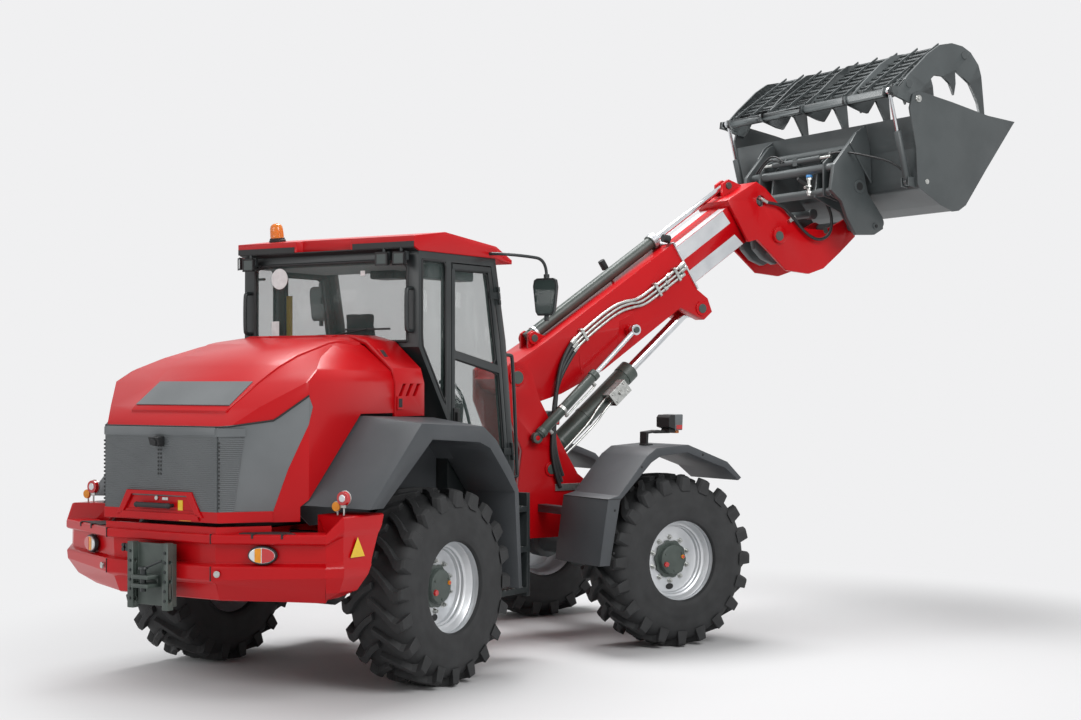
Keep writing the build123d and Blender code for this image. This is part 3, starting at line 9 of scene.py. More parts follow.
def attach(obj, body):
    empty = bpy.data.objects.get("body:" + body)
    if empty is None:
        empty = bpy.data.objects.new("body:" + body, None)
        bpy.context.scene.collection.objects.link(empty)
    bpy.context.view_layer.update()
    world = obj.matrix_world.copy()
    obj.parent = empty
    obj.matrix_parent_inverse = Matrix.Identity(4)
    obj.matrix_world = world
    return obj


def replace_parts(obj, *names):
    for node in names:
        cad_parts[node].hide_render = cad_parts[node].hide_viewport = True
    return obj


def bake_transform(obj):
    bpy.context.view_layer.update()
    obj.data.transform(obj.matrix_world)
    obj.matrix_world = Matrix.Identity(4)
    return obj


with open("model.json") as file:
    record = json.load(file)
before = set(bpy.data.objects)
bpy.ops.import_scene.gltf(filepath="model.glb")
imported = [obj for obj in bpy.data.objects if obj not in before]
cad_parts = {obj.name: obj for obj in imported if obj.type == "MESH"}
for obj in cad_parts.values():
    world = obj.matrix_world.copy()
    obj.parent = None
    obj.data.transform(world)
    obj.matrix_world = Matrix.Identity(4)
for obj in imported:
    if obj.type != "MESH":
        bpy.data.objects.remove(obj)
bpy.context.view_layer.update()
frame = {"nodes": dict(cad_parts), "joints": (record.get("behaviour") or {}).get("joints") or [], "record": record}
NODES = frame["nodes"]

# The machine's own frames, in metres: x forward, y left, z up, from the ground under the articulation pivot
FRONT_TURN = -25.95  # degrees, as the machine is steered in the photograph
BOOM_PIN = (0.55, 0, 2.08)
BOOM_PITCH = -34  # degrees
PIVOT = Vector(next(joint["pos_m"] for joint in frame["joints"] if joint["name"] == "steering"))
REAR = Matrix.Translation((PIVOT.x, PIVOT.y, 0))
FRONT = REAR @ Matrix.Rotation(radians(FRONT_TURN), 4, "Z")
BOOM = FRONT @ Matrix.Translation(BOOM_PIN) @ Matrix.Rotation(radians(BOOM_PITCH), 4, "Y")

MILLI = 0.001


def linear(code):
    """An sRGB hex colour as the linear RGBA that the shader reads."""
    parts = [int(code[i : i + 2], 16) / 255 for i in (1, 3, 5)]
    return [p / 12.92 if p <= 0.04045 else ((p + 0.055) / 1.055) ** 2.4 for p in parts] + [1]


# Materials


def node(tree, kind, sockets=None, **settings):
    """Adds a shader node with its settings, and sets or links its sockets."""
    made = tree.nodes.new("ShaderNode" + kind)
    for name, value in settings.items():
        setattr(made, name, value)
    for name, value in (sockets or {}).items():
        if isinstance(value, bpy.types.NodeSocket):
            tree.links.new(value, made.inputs[name])
        else:
            made.inputs[name].default_value = value
    return made


def material(name, **values):
    """A material with one Principled shader, whose plain sockets are set here."""
    made = bpy.data.materials.new(name)
    made.use_nodes = True
    shader = made.node_tree.nodes["Principled BSDF"]
    for socket, value in values.items():
        shader.inputs[socket.replace("_", " ")].default_value = value
    return made, made.node_tree, shader


def grain(tree, shader, size, depth, detail=4):
    """A fine bump over the surface: size and depth of the grain in millimetres."""
    place = node(tree, "TexCoord")
    noise = node(tree, "TexNoise", {"Vector": place.outputs["Object"], "Scale": 1 / (size * MILLI), "Detail": detail})
    bump = node(tree, "Bump", {"Height": noise.outputs["Fac"], "Distance": depth * MILLI, "Strength": 0.6})
    tree.links.new(bump.outputs["Normal"], shader.inputs["Normal"])


def clouded(tree, shader, light, dark, size):
    """Colour that drifts between two hex values in patches of a size in metres."""
    place = node(tree, "TexCoord")
    patches = node(tree, "TexNoise", {"Vector": place.outputs["Object"], "Scale": 1 / size, "Detail": 5})
    ramp = node(tree, "ValToRGB", {"Fac": patches.outputs["Fac"]})
    for element, position, colour in zip(ramp.color_ramp.elements, (0.35, 0.65), (dark, light)):
        element.position = position
        element.color = linear(colour)
    tree.links.new(ramp.outputs["Color"], shader.inputs["Base Color"])


def surface(name, light, dark=None, patch=1.0, pits=(), **values):
    """A finish: one colour or two that drift in patches, its grain, and the shader's plain sockets."""
    made, tree, shader = material(name, **values)
    if dark:
        clouded(tree, shader, light, dark, patch)
    else:
        shader.inputs["Base Color"].default_value = linear(light)
    if pits:
        grain(tree, shader, *pits)
    return made


# Sprayed two-pack enamel on steel: an even satin gloss with a faint orange peel 4 mm wide
RED = surface(
    "red_two_pack_enamel", "#C00711", "#B6040E", 0.9, (4, 0.05, 2),
    Roughness=0.32, Specular_IOR_Level=0.22, Coat_Weight=0.12, Coat_Roughness=0.1,
)
# Moulded polypropylene: mid grey, dull, with a 1.5 mm spark-eroded grain drawn at 3 mm so that it shows
GREY = surface(
    "moulded_grey_polypropylene", "#4D5053", "#44474A", 0.5, (3, 0.15),
    Roughness=0.5, IOR=1.49, Specular_IOR_Level=0.3,
)
# Moulded black plastic of the arch liners and housings, dull with a fine grain; the same black is painted shade in
# the grille's perforations, the valve holes, the coupler's bores and the latch slots
BLACK = surface("black_polypropylene_and_painted_shade", "#1E1F20", "#161718", 0.4, (3, 0.15), Roughness=0.6, IOR=1.49)
# Satin dark grey paint on welded plate: a little uneven, as the bucket and coupler show
DARK = surface("dark_grey_satin_paint", "#4A4F50", "#404546", 0.35, (6, 0.12), Roughness=0.42)
# Silver paint on pressed steel wheels and on the inner boom's strips, whose top pair is a painted highlight: bright,
# half metallic, faintly clouded
SILVER = surface("silver_paint_and_painted_highlight", "#D4D6D8", "#C2C5C8", 0.2, (2, 0.04), Roughness=0.36, Metallic=0.55)
# Hard chrome on ground rods: a near mirror whose tone drifts a little
CHROME = surface("hard_chrome", "#E2E4E6", "#CDD0D3", 0.15, Metallic=1.0, Roughness=0.12)
# Zinc plate on pipes and fittings: pale metal, half dull, with a fine crystal grain
ZINC = surface("zinc_plate", "#C6C7C4", "#A9ABA8", 0.03, (1.5, 0.05), Metallic=1.0, Roughness=0.34)
# Carbon-black tyre rubber: near black, dull, greyer where the mould's fine pits hold dust
TYRE = surface("tyre_rubber", "#292A2B", "#1E1F20", 0.12, (5, 0.25), Roughness=0.72, IOR=1.52)
# Extruded hose rubber: smooth black with a soft sheen
HOSE = surface("hose_rubber", "#1B1C1D", "#131415", 0.05, Roughness=0.5, IOR=1.52)
# Toughened cab glass 8 mm thick: clear with a faint green-grey body and sharp reflections
GLASS = surface("toughened_glass", "#5E6E6B", Roughness=0.02, IOR=1.52, Alpha=0.2)
# Woven seat fabric: charcoal, with the 2 mm weave drawn at 4 mm so that it shows
CLOTH = surface("woven_seat_fabric", "#2B2C2F", "#222326", 0.02, (4, 0.5), Roughness=0.9, Sheen_Weight=0.25)
# Moulded amber polycarbonate: smooth, with some light passing through it
AMBER = surface("amber_polycarbonate", "#F08A10", Roughness=0.08, IOR=1.58, Transmission_Weight=0.35)
# Moulded red polycarbonate: smooth under a hard coat, so that it glints
RED_LENS = surface("red_polycarbonate", "#C01418", Roughness=0.1, IOR=1.58, Coat_Weight=0.5)
# Moulded clear polycarbonate over a bright reflector, drawn as one pale half-metallic face
CLEAR = surface("clear_polycarbonate", "#D9DEE0", Roughness=0.06, IOR=1.58, Metallic=0.4)
# Black-green powder coat on the cab's tubes, doors and mirrors: satin with a fine orange peel
COAT = surface("black_powder_coat", "#24292A", "#1C2122", 0.3, (3, 0.06, 2), Roughness=0.38)
# Grey-green chassis paint on the hubs, the hitch and the cylinders: satin over turned steel
HUB = surface("grey_green_chassis_paint", "#4B544F", "#3E4743", 0.15, (4, 0.08), Roughness=0.4)
# Moulded plastic of the grille's lip and corner panels, a shade lighter and smoother than the fenders
LIP = surface("moulded_lip_plastic", "#6C7072", "#5F6365", 0.6, (3, 0.05), Roughness=0.36, IOR=1.49)
# Pressed fabric headliner over foam, dark grey with a soft nap
LINING = surface("pressed_headliner", "#4A4B4C", "#3E3F40", 0.05, (3, 0.3), Roughness=0.95, Sheen_Weight=0.3)
# Printed yellow vinyl film, left blank: even colour with a light gloss
YELLOW = surface("yellow_vinyl_film", "#E8C21C", "#DDB516", 0.05, Roughness=0.35, Coat_Weight=0.3)
# White reflective film of the blank disc and plates: a fine grain from its glass beads
WHITE = surface("white_reflective_film", "#E2E4E4", "#D5D8D8", 0.04, (2, 0.05), Roughness=0.45)
# Moulded orange polyethylene caps and reflectors: slightly waxy, some light goes under the skin
ORANGE = surface("orange_polyethylene", "#EE9A1E", "#E28C14", 0.03, Roughness=0.35, Subsurface_Weight=0.1)
# Moulded blue polyethylene dust caps: even colour, half dull
BLUE = surface("blue_polyethylene", "#3F86C0", "#3577B0", 0.03, Roughness=0.4)
# Tinted mirror glass: polished near black-green under a hard coat
TINTED = surface("tinted_mirror_glass", "#3A4644", Roughness=0.04, Coat_Weight=0.6)
# Painted cast iron of the engine: dark, rough from the sand mould
IRON = surface("painted_cast_iron", "#2E3030", "#232525", 0.1, (5, 0.4), Roughness=0.6)


LOUVRE_PITCH = 12 * MILLI
WAVE_AT_ONE = 2 * pi / 20  # metres that one band of the wave node takes at scale 1


def louvred_plastic():
    """Moulded grille panel: grey plastic with fine level louvres 12 mm apart, which its bump draws."""
    made, tree, shader = material("moulded_louvre_panel", Roughness=0.42, IOR=1.49)
    clouded(tree, shader, "#5A5E60", "#505456", 0.5)
    place = node(tree, "TexCoord")
    bands = node(
        tree, "TexWave", {"Vector": place.outputs["Object"], "Scale": WAVE_AT_ONE / LOUVRE_PITCH}, bands_direction="Z"
    )
    bump = node(tree, "Bump", {"Height": bands.outputs["Color"], "Distance": 3 * MILLI, "Strength": 0.8})
    tree.links.new(bump.outputs["Normal"], shader.inputs["Normal"])
    return made


LOUVRES = louvred_plastic()

SLOT_FINISH = {
    "body_red": RED,
    "fender_grey": GREY,
    "dark_steel": DARK,
    "tube_grey": DARK,
    "rod_chrome": CHROME,
    "rim_silver": SILVER,
    "tyre_black": TYRE,
    "pane": GLASS,
    "seat_cloth": CLOTH,
    "control_black": BLACK,
    "lamp_lens": BLACK,
    "amber": AMBER,
    "zinc": ZINC,
    "engine_iron": IRON,
}
NODE_FINISH = {
    "hood_grille": LIP,
    "mirrors": COAT,
    "rear_bumper": RED,
    "inner_boom": RED,
    "telescope_barrel": HUB,
    "cab_frame": COAT,
    "door_left": COAT,
    "door_right": COAT,
    "steps": COAT,
    "hitch": HUB,
    "lift_barrel": HUB,
    "levelling_barrels": HUB,
}

SMOOTH_ANGLE = radians(32)
EDGE_ROUNDING = 0.004
WELD_GAP = 0.00005
DOUBLES_GAP = 0.00002


def round_edges(thing, width, angle):
    """Rounds the edges of a thing that are sharper than an angle."""
    bevel = thing.modifiers.new("edges", "BEVEL")
    bevel.width = width
    bevel.segments = 2
    bevel.limit_method = "ANGLE"
    bevel.angle_limit = angle
    bevel.harden_normals = True


def dress_nodes():
    """Gives each carried-over node its material, smooth shading and softly rounded edges."""
    slots = {part["node"]: part["material_slot"] for part in frame["record"]["subparts"]}
    for name, thing in NODES.items():
        finish = NODE_FINISH.get(name) or SLOT_FINISH[slots[name]]
        thing.data.materials.clear()
        thing.data.materials.append(finish)
        weld = thing.modifiers.new("join", "WELD")
        weld.merge_threshold = WELD_GAP
        if finish is not GLASS:
            round_edges(thing, EDGE_ROUNDING, SMOOTH_ANGLE)
        thing.data.shade_smooth()


dress_nodes()


# Forms, each added to a bmesh


def span(hand, near, far):
    """How far a part reaches on one side, from low to high y."""
    return sorted((hand * near, hand * far))


def both_sides(outline):
    """An outline on the right, joined to its reflection on the left."""
    return outline + [(x, -y) for x, y in reversed(outline)]


def new_verts(made):
    """The vertices among what an operator made."""
    return [part for part in made["geom"] if isinstance(part, bmesh.types.BMVert)]


def add_block(form, low, high):
    """A block between two corners."""
    size = Matrix.Diagonal((*(b - a for a, b in zip(low, high)), 1))
    middle = Matrix.Translation([(a + b) / 2 for a, b in zip(low, high)])
    return bmesh.ops.create_cube(form, size=1, matrix=middle @ size)["verts"]


def add_rod(form, start, end, radius, tip=None, sides=24):
    """A round bar, or a cone where its tip has another radius."""
    start, end = Vector(start), Vector(end)
    turn = (end - start).to_track_quat("Z", "Y").to_matrix().to_4x4()
    place = Matrix.Translation((start + end) / 2) @ turn
    tip = radius if tip is None else tip
    made = bmesh.ops.create_cone(
        form, cap_ends=True, segments=sides, radius1=radius, radius2=tip, depth=(end - start).length, matrix=place
    )
    return made["verts"]


def add_plate(form, outline, low, high, axis="y"):
    """A plate of an outline, whose thickness runs from low to high along an axis."""
    order = {"x": (2, 0, 1), "y": (0, 2, 1), "z": (0, 1, 2)}[axis]
    corners = [form.verts.new([(a, b, low)[i] for i in order]) for a, b in outline]
    grown = bmesh.ops.extrude_face_region(form, geom=[form.faces.new(corners)])
    moved = new_verts(grown)
    bmesh.ops.translate(form, vec=[(0, 0, high - low)[i] for i in order], verts=moved)
    return corners + moved


def add_loft(form, sections):
    """A skin drawn through sections of as many corners each, closed at both ends."""
    face = form.faces.new([form.verts.new(corner) for corner in sections[0]])
    for section in sections[1:]:
        grown = bmesh.ops.extrude_face_region(form, geom=[face])
        face = next(part for part in grown["geom"] if isinstance(part, bmesh.types.BMFace))
        for vert, corner in zip(face.verts, section):
            vert.co = corner


def add_turned(form, profile, steps):
    """A profile of distances along y and radii, turned about the y axis."""
    ends = [form.verts.new((radius, along, 0)) for along, radius in profile]
    edges = [form.edges.new(pair) for pair in zip(ends, ends[1:])]
    if profile[0] == profile[-1]:
        bmesh.ops.weld_verts(form, targetmap={ends[-1]: ends[0]})
        ends = ends[:-1]
        edges = [edge for edge in form.edges if not edge.link_faces and all(v in ends for v in edge.verts)]
    bmesh.ops.spin(
        form, geom=ends + edges, cent=(0, 0, 0), axis=(0, 1, 0), angle=2 * pi, steps=steps, use_merge=True
    )


def linked(name, data):
    """A new object of some data, put into the scene."""
    thing = bpy.data.objects.new(name, data)
    bpy.context.scene.collection.objects.link(thing)
    return thing


def mesh_of(name, form):
    """The mesh of a finished bmesh."""
    mesh = bpy.data.meshes.new(name)
    form.to_mesh(mesh)
    form.free()
    return mesh


def placed(form, name, place, body, finishes, stands_for=(), rounding=0.0, sharp=SMOOTH_ANGLE):
    """Puts a form in its place as a piece that rides on a body, with one finish or a tuple of them by face."""
    bmesh.ops.remove_doubles(form, verts=form.verts[:], dist=DOUBLES_GAP)
    bmesh.ops.transform(form, matrix=place, verts=form.verts[:])
    bmesh.ops.recalc_face_normals(form, faces=form.faces[:])
    mesh = mesh_of(name, form)
    for finish in finishes if isinstance(finishes, tuple) else (finishes,):
        mesh.materials.append(finish)
    mesh.shade_smooth()
    mesh.set_sharp_from_angle(angle=sharp)
    piece = linked(name, mesh)
    if rounding:
        round_edges(piece, rounding, sharp)
    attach(piece, body)
    if stands_for:
        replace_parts(piece, *stands_for)
    return piece


def tube(name, routes, radius, place, body, finish, smooth=True):
    """Round tubes or hoses of one size, each along its route's points."""
    data = bpy.data.curves.new(name, "CURVE")
    data.dimensions = "3D"
    data.bevel_depth = radius
    data.bevel_resolution = 3
    data.resolution_u = 8
    data.use_fill_caps = True
    for route in routes:
        line = data.splines.new("NURBS")
        line.points.add(len(route) - 1)
        for point, spot in zip(line.points, route):
            point.co = (*(place @ Vector(spot)), 1)
        line.order_u = 3 if smooth else 2
        line.use_endpoint_u = True
    data.materials.append(finish)
    piece = linked(name, data)
    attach(piece, body)
    return piece


# Wheels, about an axle along y whose far side is the wheel's outer face

REAR_AXLE_X = -1.530
FRONT_AXLE_X = 1.464
WHEEL_Y = 0.991
WHEEL_RADIUS = 0.665
TYRE_CARCASS = [
    (0.200, 0.306), (0.226, 0.316), (0.236, 0.336), (0.241, 0.352), (0.2405, 0.372), (0.2425, 0.400), (0.2438, 0.432),
    (0.2412, 0.440), (0.2425, 0.470), (0.2385, 0.520), (0.231, 0.552), (0.217, 0.580), (0.196, 0.601), (0.160, 0.616),
    (0.100, 0.625), (0, 0.629),
]
# Stations of a lug: across the tread, lead round it, top, base and half width
TYRE_LUG = (
    (-0.012, 0.172, 0.663, 0.600, 0.022),
    (0.050, 0.133, 0.665, 0.605, 0.024),
    (0.115, 0.078, 0.664, 0.600, 0.027),
    (0.168, 0.018, 0.662, 0.590, 0.031),
    (0.196, 0.000, 0.659, 0.580, 0.034),
    (0.226, 0.012, 0.652, 0.560, 0.034),
    (0.2445, 0.024, 0.640, 0.536, 0.032),
)
TYRE_LUGS = 20
RIM_BARREL = [
    (0.222, 0.333), (0.2255, 0.329), (0.2215, 0.323), (0.214, 0.316), (0.206, 0.309), (0.168, 0.304),
    (0.160, 0.309), (0.150, 0.309), (0.143, 0.301), (0.112, 0.288), (0.106, 0.283), (0.101, 0.270), (0.082, 0.266),
    (0.076, 0.258), (0.040, 0.252), (-0.020, 0.252), (-0.090, 0.262), (-0.110, 0.284), (-0.160, 0.300),
    (-0.206, 0.309), (-0.222, 0.333), (-0.215, 0.335), (-0.200, 0.316), (-0.155, 0.309), (-0.105, 0.294),
    (-0.084, 0.272), (-0.020, 0.262), (0.070, 0.266), (0.095, 0.280), (0.106, 0.296), (0.150, 0.316),
    (0.200, 0.318), (0.218, 0.334), (0.222, 0.333),
]
RIM_DISC = [
    (0.046, 0.128), (0.048, 0.200), (0.046, 0.236), (0.052, 0.254), (0.036, 0.256), (0.034, 0.128), (0.046, 0.128)
]
NUT_CIRCLE = 0.170
NUTS = 10
HUB_PROFILE = [
    (0.060, 0.121), (0.070, 0.121), (0.074, 0.117), (0.098, 0.115), (0.106, 0.112), (0.110, 0.100), (0.1115, 0.060),
    (0.112, 0),
]


def add_wheel(side, place, body, hand):
    """One wheel: the tyre with its two rows of lugs, the stepped silver rim, and the hub with nuts and plugs."""
    axle = place @ Matrix.Rotation(0 if hand > 0 else pi, 4, "Z")
    tyre = bmesh.new()
    add_turned(tyre, TYRE_CARCASS + [(-along, radius) for along, radius in TYRE_CARCASS[-2::-1]], 96)
    for row, shift in ((1, 0), (-1, 0.5)):
        for count in range(TYRE_LUGS):
            turn = 2 * pi * (count + shift) / TYRE_LUGS
            sections = []
            for along, lead, top, base, half in TYRE_LUG:
                around = turn + hand * lead / WHEEL_RADIUS
                outward = Vector((cos(around), 0, -sin(around)))
                onward = Vector((-sin(around), 0, -cos(around)))
                middle = Vector((0, row * along, 0))
                corners = ((base, -1.42 * half), (top, -half), (top, half), (base, 1.42 * half))
                sections.append([middle + outward * reach + onward * shift_by for reach, shift_by in corners])
            add_loft(tyre, sections)
    placed(tyre, "tyre_" + side, axle, body, TYRE, ("tyre_" + side,), rounding=0.005, sharp=radians(28))

    rim = bmesh.new()
    add_turned(rim, RIM_BARREL, 96)
    add_turned(rim, RIM_DISC, 96)
    placed(rim, "rim_" + side, axle, body, SILVER, ("rim_" + side,), sharp=radians(40))

    nuts = bmesh.new()
    for count in range(NUTS):
        around = 2 * pi * (count + 0.5) / NUTS
        x, z = NUT_CIRCLE * cos(around), NUT_CIRCLE * sin(around)
        add_rod(nuts, (x, 0.046, z), (x, 0.051, z), 0.021)
        add_rod(nuts, (x, 0.050, z), (x, 0.068, z), 0.0165, 0.015, sides=6)
        add_rod(nuts, (x, 0.060, z), (x, 0.080, z), 0.0085)
    placed(nuts, "wheel_nuts_" + side, axle, body, ZINC, rounding=0.0012)

    hub = bmesh.new()
    teeth = 2 * NUTS
    lobes = [0.1485 if count % 4 in (0, 1) else 0.139 for count in range(2 * teeth)]
    star = [(r * cos(pi * c / teeth), r * sin(pi * c / teeth)) for c, r in enumerate(lobes)]
    add_plate(hub, star, 0.040, 0.066)
    add_turned(hub, HUB_PROFILE, 64)
    for count in range(3):
        around = 2 * pi * count / 3 + 0.5
        x, z = 0.088 * cos(around), 0.088 * sin(around)
        add_rod(hub, (x, 0.105, z), (x, 0.117, z), 0.009, sides=6)
    placed(hub, "hub_" + side, axle, body, HUB, rounding=0.002)

    plugs = bmesh.new()
    add_rod(plugs, (0.075, 0.108, -0.035), (0.075, 0.124, -0.035), 0.0215, 0.019)
    first = len(plugs.faces)
    add_rod(plugs, (-0.080, 0.104, 0.018), (-0.080, 0.121, 0.018), 0.016, sides=6)
    add_rod(plugs, (-0.080, 0.121, 0.018), (-0.080, 0.1235, 0.018), 0.010)
    plugs.faces.ensure_lookup_table()
    for face in plugs.faces[first:]:
        face.material_index = 1
    placed(plugs, "hub_plugs_" + side, axle, body, (ORANGE, RED_LENS), rounding=0.001)

    # A black oval on the rim's disc: painted shade where the valve hole is
    valve = bmesh.new()
    bmesh.ops.create_circle(valve, cap_ends=True, segments=32, radius=0.024)
    bmesh.ops.scale(valve, vec=(1.5, 1, 1), verts=valve.verts[:])
    grown = bmesh.ops.extrude_face_region(valve, geom=valve.faces[:])
    bmesh.ops.translate(valve, vec=(0, 0, 0.003), verts=new_verts(grown))
    bmesh.ops.transform(
        valve, matrix=Matrix.Translation((0, 0.0455, -0.214)) @ Matrix.Rotation(-pi / 2, 4, "X"), verts=valve.verts[:]
    )
    placed(valve, "painted_valve_hole_shade_" + side, axle, body, BLACK)


for side, half, x, hand, body in (
    ("rear_right", REAR, REAR_AXLE_X, -1, "wheel_rr"),
    ("rear_left", REAR, REAR_AXLE_X, 1, "wheel_rl"),
    ("front_right", FRONT, FRONT_AXLE_X, -1, "wheel_fr"),
    ("front_left", FRONT, FRONT_AXLE_X, 1, "wheel_fl"),
):
    add_wheel(side, half @ Matrix.Translation((x, hand * WHEEL_Y, WHEEL_RADIUS)), body, hand)


# Hood with its raised panel's dark inset, the grille and the pull handle


def add_hood():
    """The hood's inset, seal, louvres, lip, painted shade of the perforations, frame band, handle, lock, camera
    housing and labels.
    """
    inset = bmesh.new()
    low, high, proud = Vector((-2.862, 1.889)), Vector((-2.642, 2.039)), Vector((-0.5634, 0.8262))
    face = [low + proud * 0.009, high + proud * 0.009, high + proud * 0.016, low + proud * 0.016]
    add_plate(inset, face, -0.408, 0.408)
    placed(inset, "hood_inset", REAR, "hood", LIP, rounding=0.002)

    seal = [(-2.620, 0.853, 1.962), (-2.790, 0.713, 1.808), (-3.005, 0.534, 1.771), (-3.058, 0.490, 1.767)]
    tube("hood_seal", [seal + [(x, -y, z) for x, y, z in reversed(seal)]], 0.006, REAR, "hood", BLACK, smooth=False)

    louvres = bmesh.new()
    outline = [(-0.484, 1.236), (-0.355, 1.236), (-0.276, 1.352), (0.276, 1.352), (0.355, 1.236), (0.484, 1.236),
               (0.484, 1.706), (-0.484, 1.706)]
    add_plate(louvres, outline, -3.064, -3.050, "x")
    placed(louvres, "grille_louvres", REAR, "hood", LOUVRES)

    corners = bmesh.new()
    for hand in (-1, 1):
        add_plate(corners, [(0.002, 1.236), (0.094, 1.236), (0.160, 1.700), (0.002, 1.706)], -0.004, 0.004)
        turn = Matrix.Translation((-3.0555, hand * 0.4905, 0)) @ Matrix.Rotation(hand * radians(39.61), 4, "Z")
        bmesh.ops.transform(corners, matrix=turn, verts=corners.verts[-8:])
    placed(corners, "grille_corners", REAR, "hood", LOUVRES)

    lip = bmesh.new()
    for low_z, high_z, reach in ((1.706, 1.758, 0.012), (1.757, 1.763, 0.006)):
        plan = both_sides([(-3.055 - reach, -0.494), (-2.932, -0.592 - reach), (-2.920, -0.580), (-3.040, -0.480)])
        add_plate(lip, plan, low_z, high_z, "z")
    placed(lip, "grille_lip", REAR, "hood", LIP, rounding=0.004)

    # Black hexagons on the grille: painted shade where its perforations are
    perforation_shade = bmesh.new()
    for y, rows in ((0.487, 17), (-0.487, 17), (0.0, 9)):
        for row in range(rows):
            for shift in (-0.011, 0.011):
                across = y + shift * (row % 2 or -1)
                spot = (-3.0648, across, 1.468 + row * 0.025) if y == 0 else (-3.058, across, 1.268 + row * 0.025)
                place = Matrix.Translation(spot) @ Matrix.Rotation(-pi / 2, 4, "Y")
                bmesh.ops.create_circle(perforation_shade, cap_ends=True, segments=6, radius=0.0075, matrix=place)
    grown = bmesh.ops.extrude_face_region(perforation_shade, geom=perforation_shade.faces[:])
    bmesh.ops.translate(perforation_shade, vec=(-0.002, 0, 0), verts=new_verts(grown))
    placed(perforation_shade, "grille_perforation_shade", REAR, "hood", BLACK)

    frame_band = bmesh.new()
    band = both_sides([(-3.0655, -0.492), (-2.800, -0.712), (-2.790, -0.700), (-3.045, -0.480)])
    add_plate(frame_band, band, 1.172, 1.240, "z")
    outer = [(-0.375, 1.200), (-0.345, 1.240), (-0.280, 1.358), (0.280, 1.358), (0.345, 1.240), (0.375, 1.200)]
    inner = [(0.318, 1.212), (0.238, 1.334), (-0.238, 1.334), (-0.318, 1.212)]
    add_plate(frame_band, outer[:3] + inner[2:], -3.078, -3.052, "x")
    add_plate(frame_band, outer[3:] + inner[:2], -3.078, -3.052, "x")
    add_plate(frame_band, [outer[2], outer[3], inner[1], inner[2]], -3.078, -3.052, "x")
    add_plate(frame_band, [(-0.345, 1.180), (0.345, 1.180), (0.330, 1.222), (-0.330, 1.222)], -3.078, -3.052, "x")
    add_plate(frame_band, [(-0.318, 1.212), (0.318, 1.212), (0.238, 1.334), (-0.238, 1.334)], -3.058, -3.052, "x")
    placed(frame_band, "hood_frame_band", REAR, "hood", RED, rounding=0.003)

    handle = bmesh.new()
    add_rod(handle, (-3.098, -0.100, 1.268), (-3.098, 0.160, 1.268), 0.017)
    for y in (-0.108, 0.168):
        add_rod(handle, (-3.098, y, 1.268), (-3.055, y, 1.268), 0.012)
        bmesh.ops.create_uvsphere(
            handle, u_segments=24, v_segments=12, radius=0.019, matrix=Matrix.Translation((-3.098, y, 1.268))
        )
    placed(handle, "hood_handle", REAR, "hood", BLACK, rounding=0.001)
    keys = bmesh.new()
    add_rod(keys, (-3.058, 0.030, 1.312), (-3.066, 0.030, 1.312), 0.014)
    add_block(keys, (-3.064, -0.070, 1.300), (-3.057, -0.020, 1.318))
    placed(keys, "hood_lock", REAR, "hood", ZINC, rounding=0.001)

    eye = bmesh.new()
    add_plate(eye, [(-3.130, 1.700), (-3.062, 1.704), (-3.062, 1.640), (-3.112, 1.650)], -0.040, 0.042)
    add_rod(eye, (-3.110, 0.001, 1.672), (-3.128, 0.001, 1.664), 0.024)
    placed(eye, "rear_view_housing", REAR, "hood", BLACK, rounding=0.005)

    labels = bmesh.new()
    add_block(labels, (-3.0615, -0.195, 1.226), (-3.0575, -0.155, 1.304))
    add_block(labels, (-3.0675, -0.270, 1.176), (-3.0645, -0.170, 1.216))
    placed(labels, "hood_labels", REAR, "hood", YELLOW)


add_hood()


# Bumper: sections along its wrap, from the middle round to the wheel, each from the inner top round the outside

BUMPER_PATH = (
    ((-3.085, 0), (1, 0)),
    ((-3.085, -0.440), (1, 0)),
    ((-3.083, -0.456), (0.98, 0.2)),
    ((-2.800, -1.136), (0.77, 0.64)),
    ((-2.700, -1.200), (0.3, 0.954)),
    ((-2.290, -1.200), (0, 1)),
)
MIDDLE_SECTION = (
    (0.115, 1.105), (0.010, 1.105), (0, 1.097), (0, 1.052), (0.010, 1.044), (0.055, 1.040), (0.060, 0.916),
    (0.008, 0.908), (0, 0.900), (0, 0.822), (0.008, 0.812), (0.060, 0.790), (0.100, 0.690), (0.120, 0.680),
)
SIDE_SECTION = (
    (0.200, 1.110), (0.010, 1.110), (0, 1.102), (0, 1.058), (0.010, 1.049), (0.050, 1.040), (0.045, 0.930),
    (0.012, 0.912), (0.004, 0.900), (0.010, 0.845), (0.022, 0.830), (0.080, 0.745), (0.200, 0.668), (0.290, 0.662),
)
CORNER_SECTION = (
    (0.300, 1.215), (0.020, 1.215), (0.006, 1.207), (0, 1.140), (0.003, 1.120), (0.012, 1.090), (0.010, 0.940),
    (0.006, 0.915), (0, 0.900), (0.006, 0.845), (0.014, 0.830), (0.060, 0.745), (0.190, 0.690), (0.300, 0.680),
)


def bumper_stations():
    """The bumper's sections on the machine's right, in its own frame."""
    sections = (MIDDLE_SECTION, MIDDLE_SECTION, MIDDLE_SECTION, SIDE_SECTION, CORNER_SECTION, CORNER_SECTION)
    stations = []
    for ((x, y), (inward_x, inward_y)), section in zip(BUMPER_PATH, sections):
        stations.append([Vector((x + inward_x * d, y + inward_y * d, z)) for d, z in section])
    for corner in stations[-1]:
        corner.x -= 0.44 * (1.215 - corner.z)
    return stations


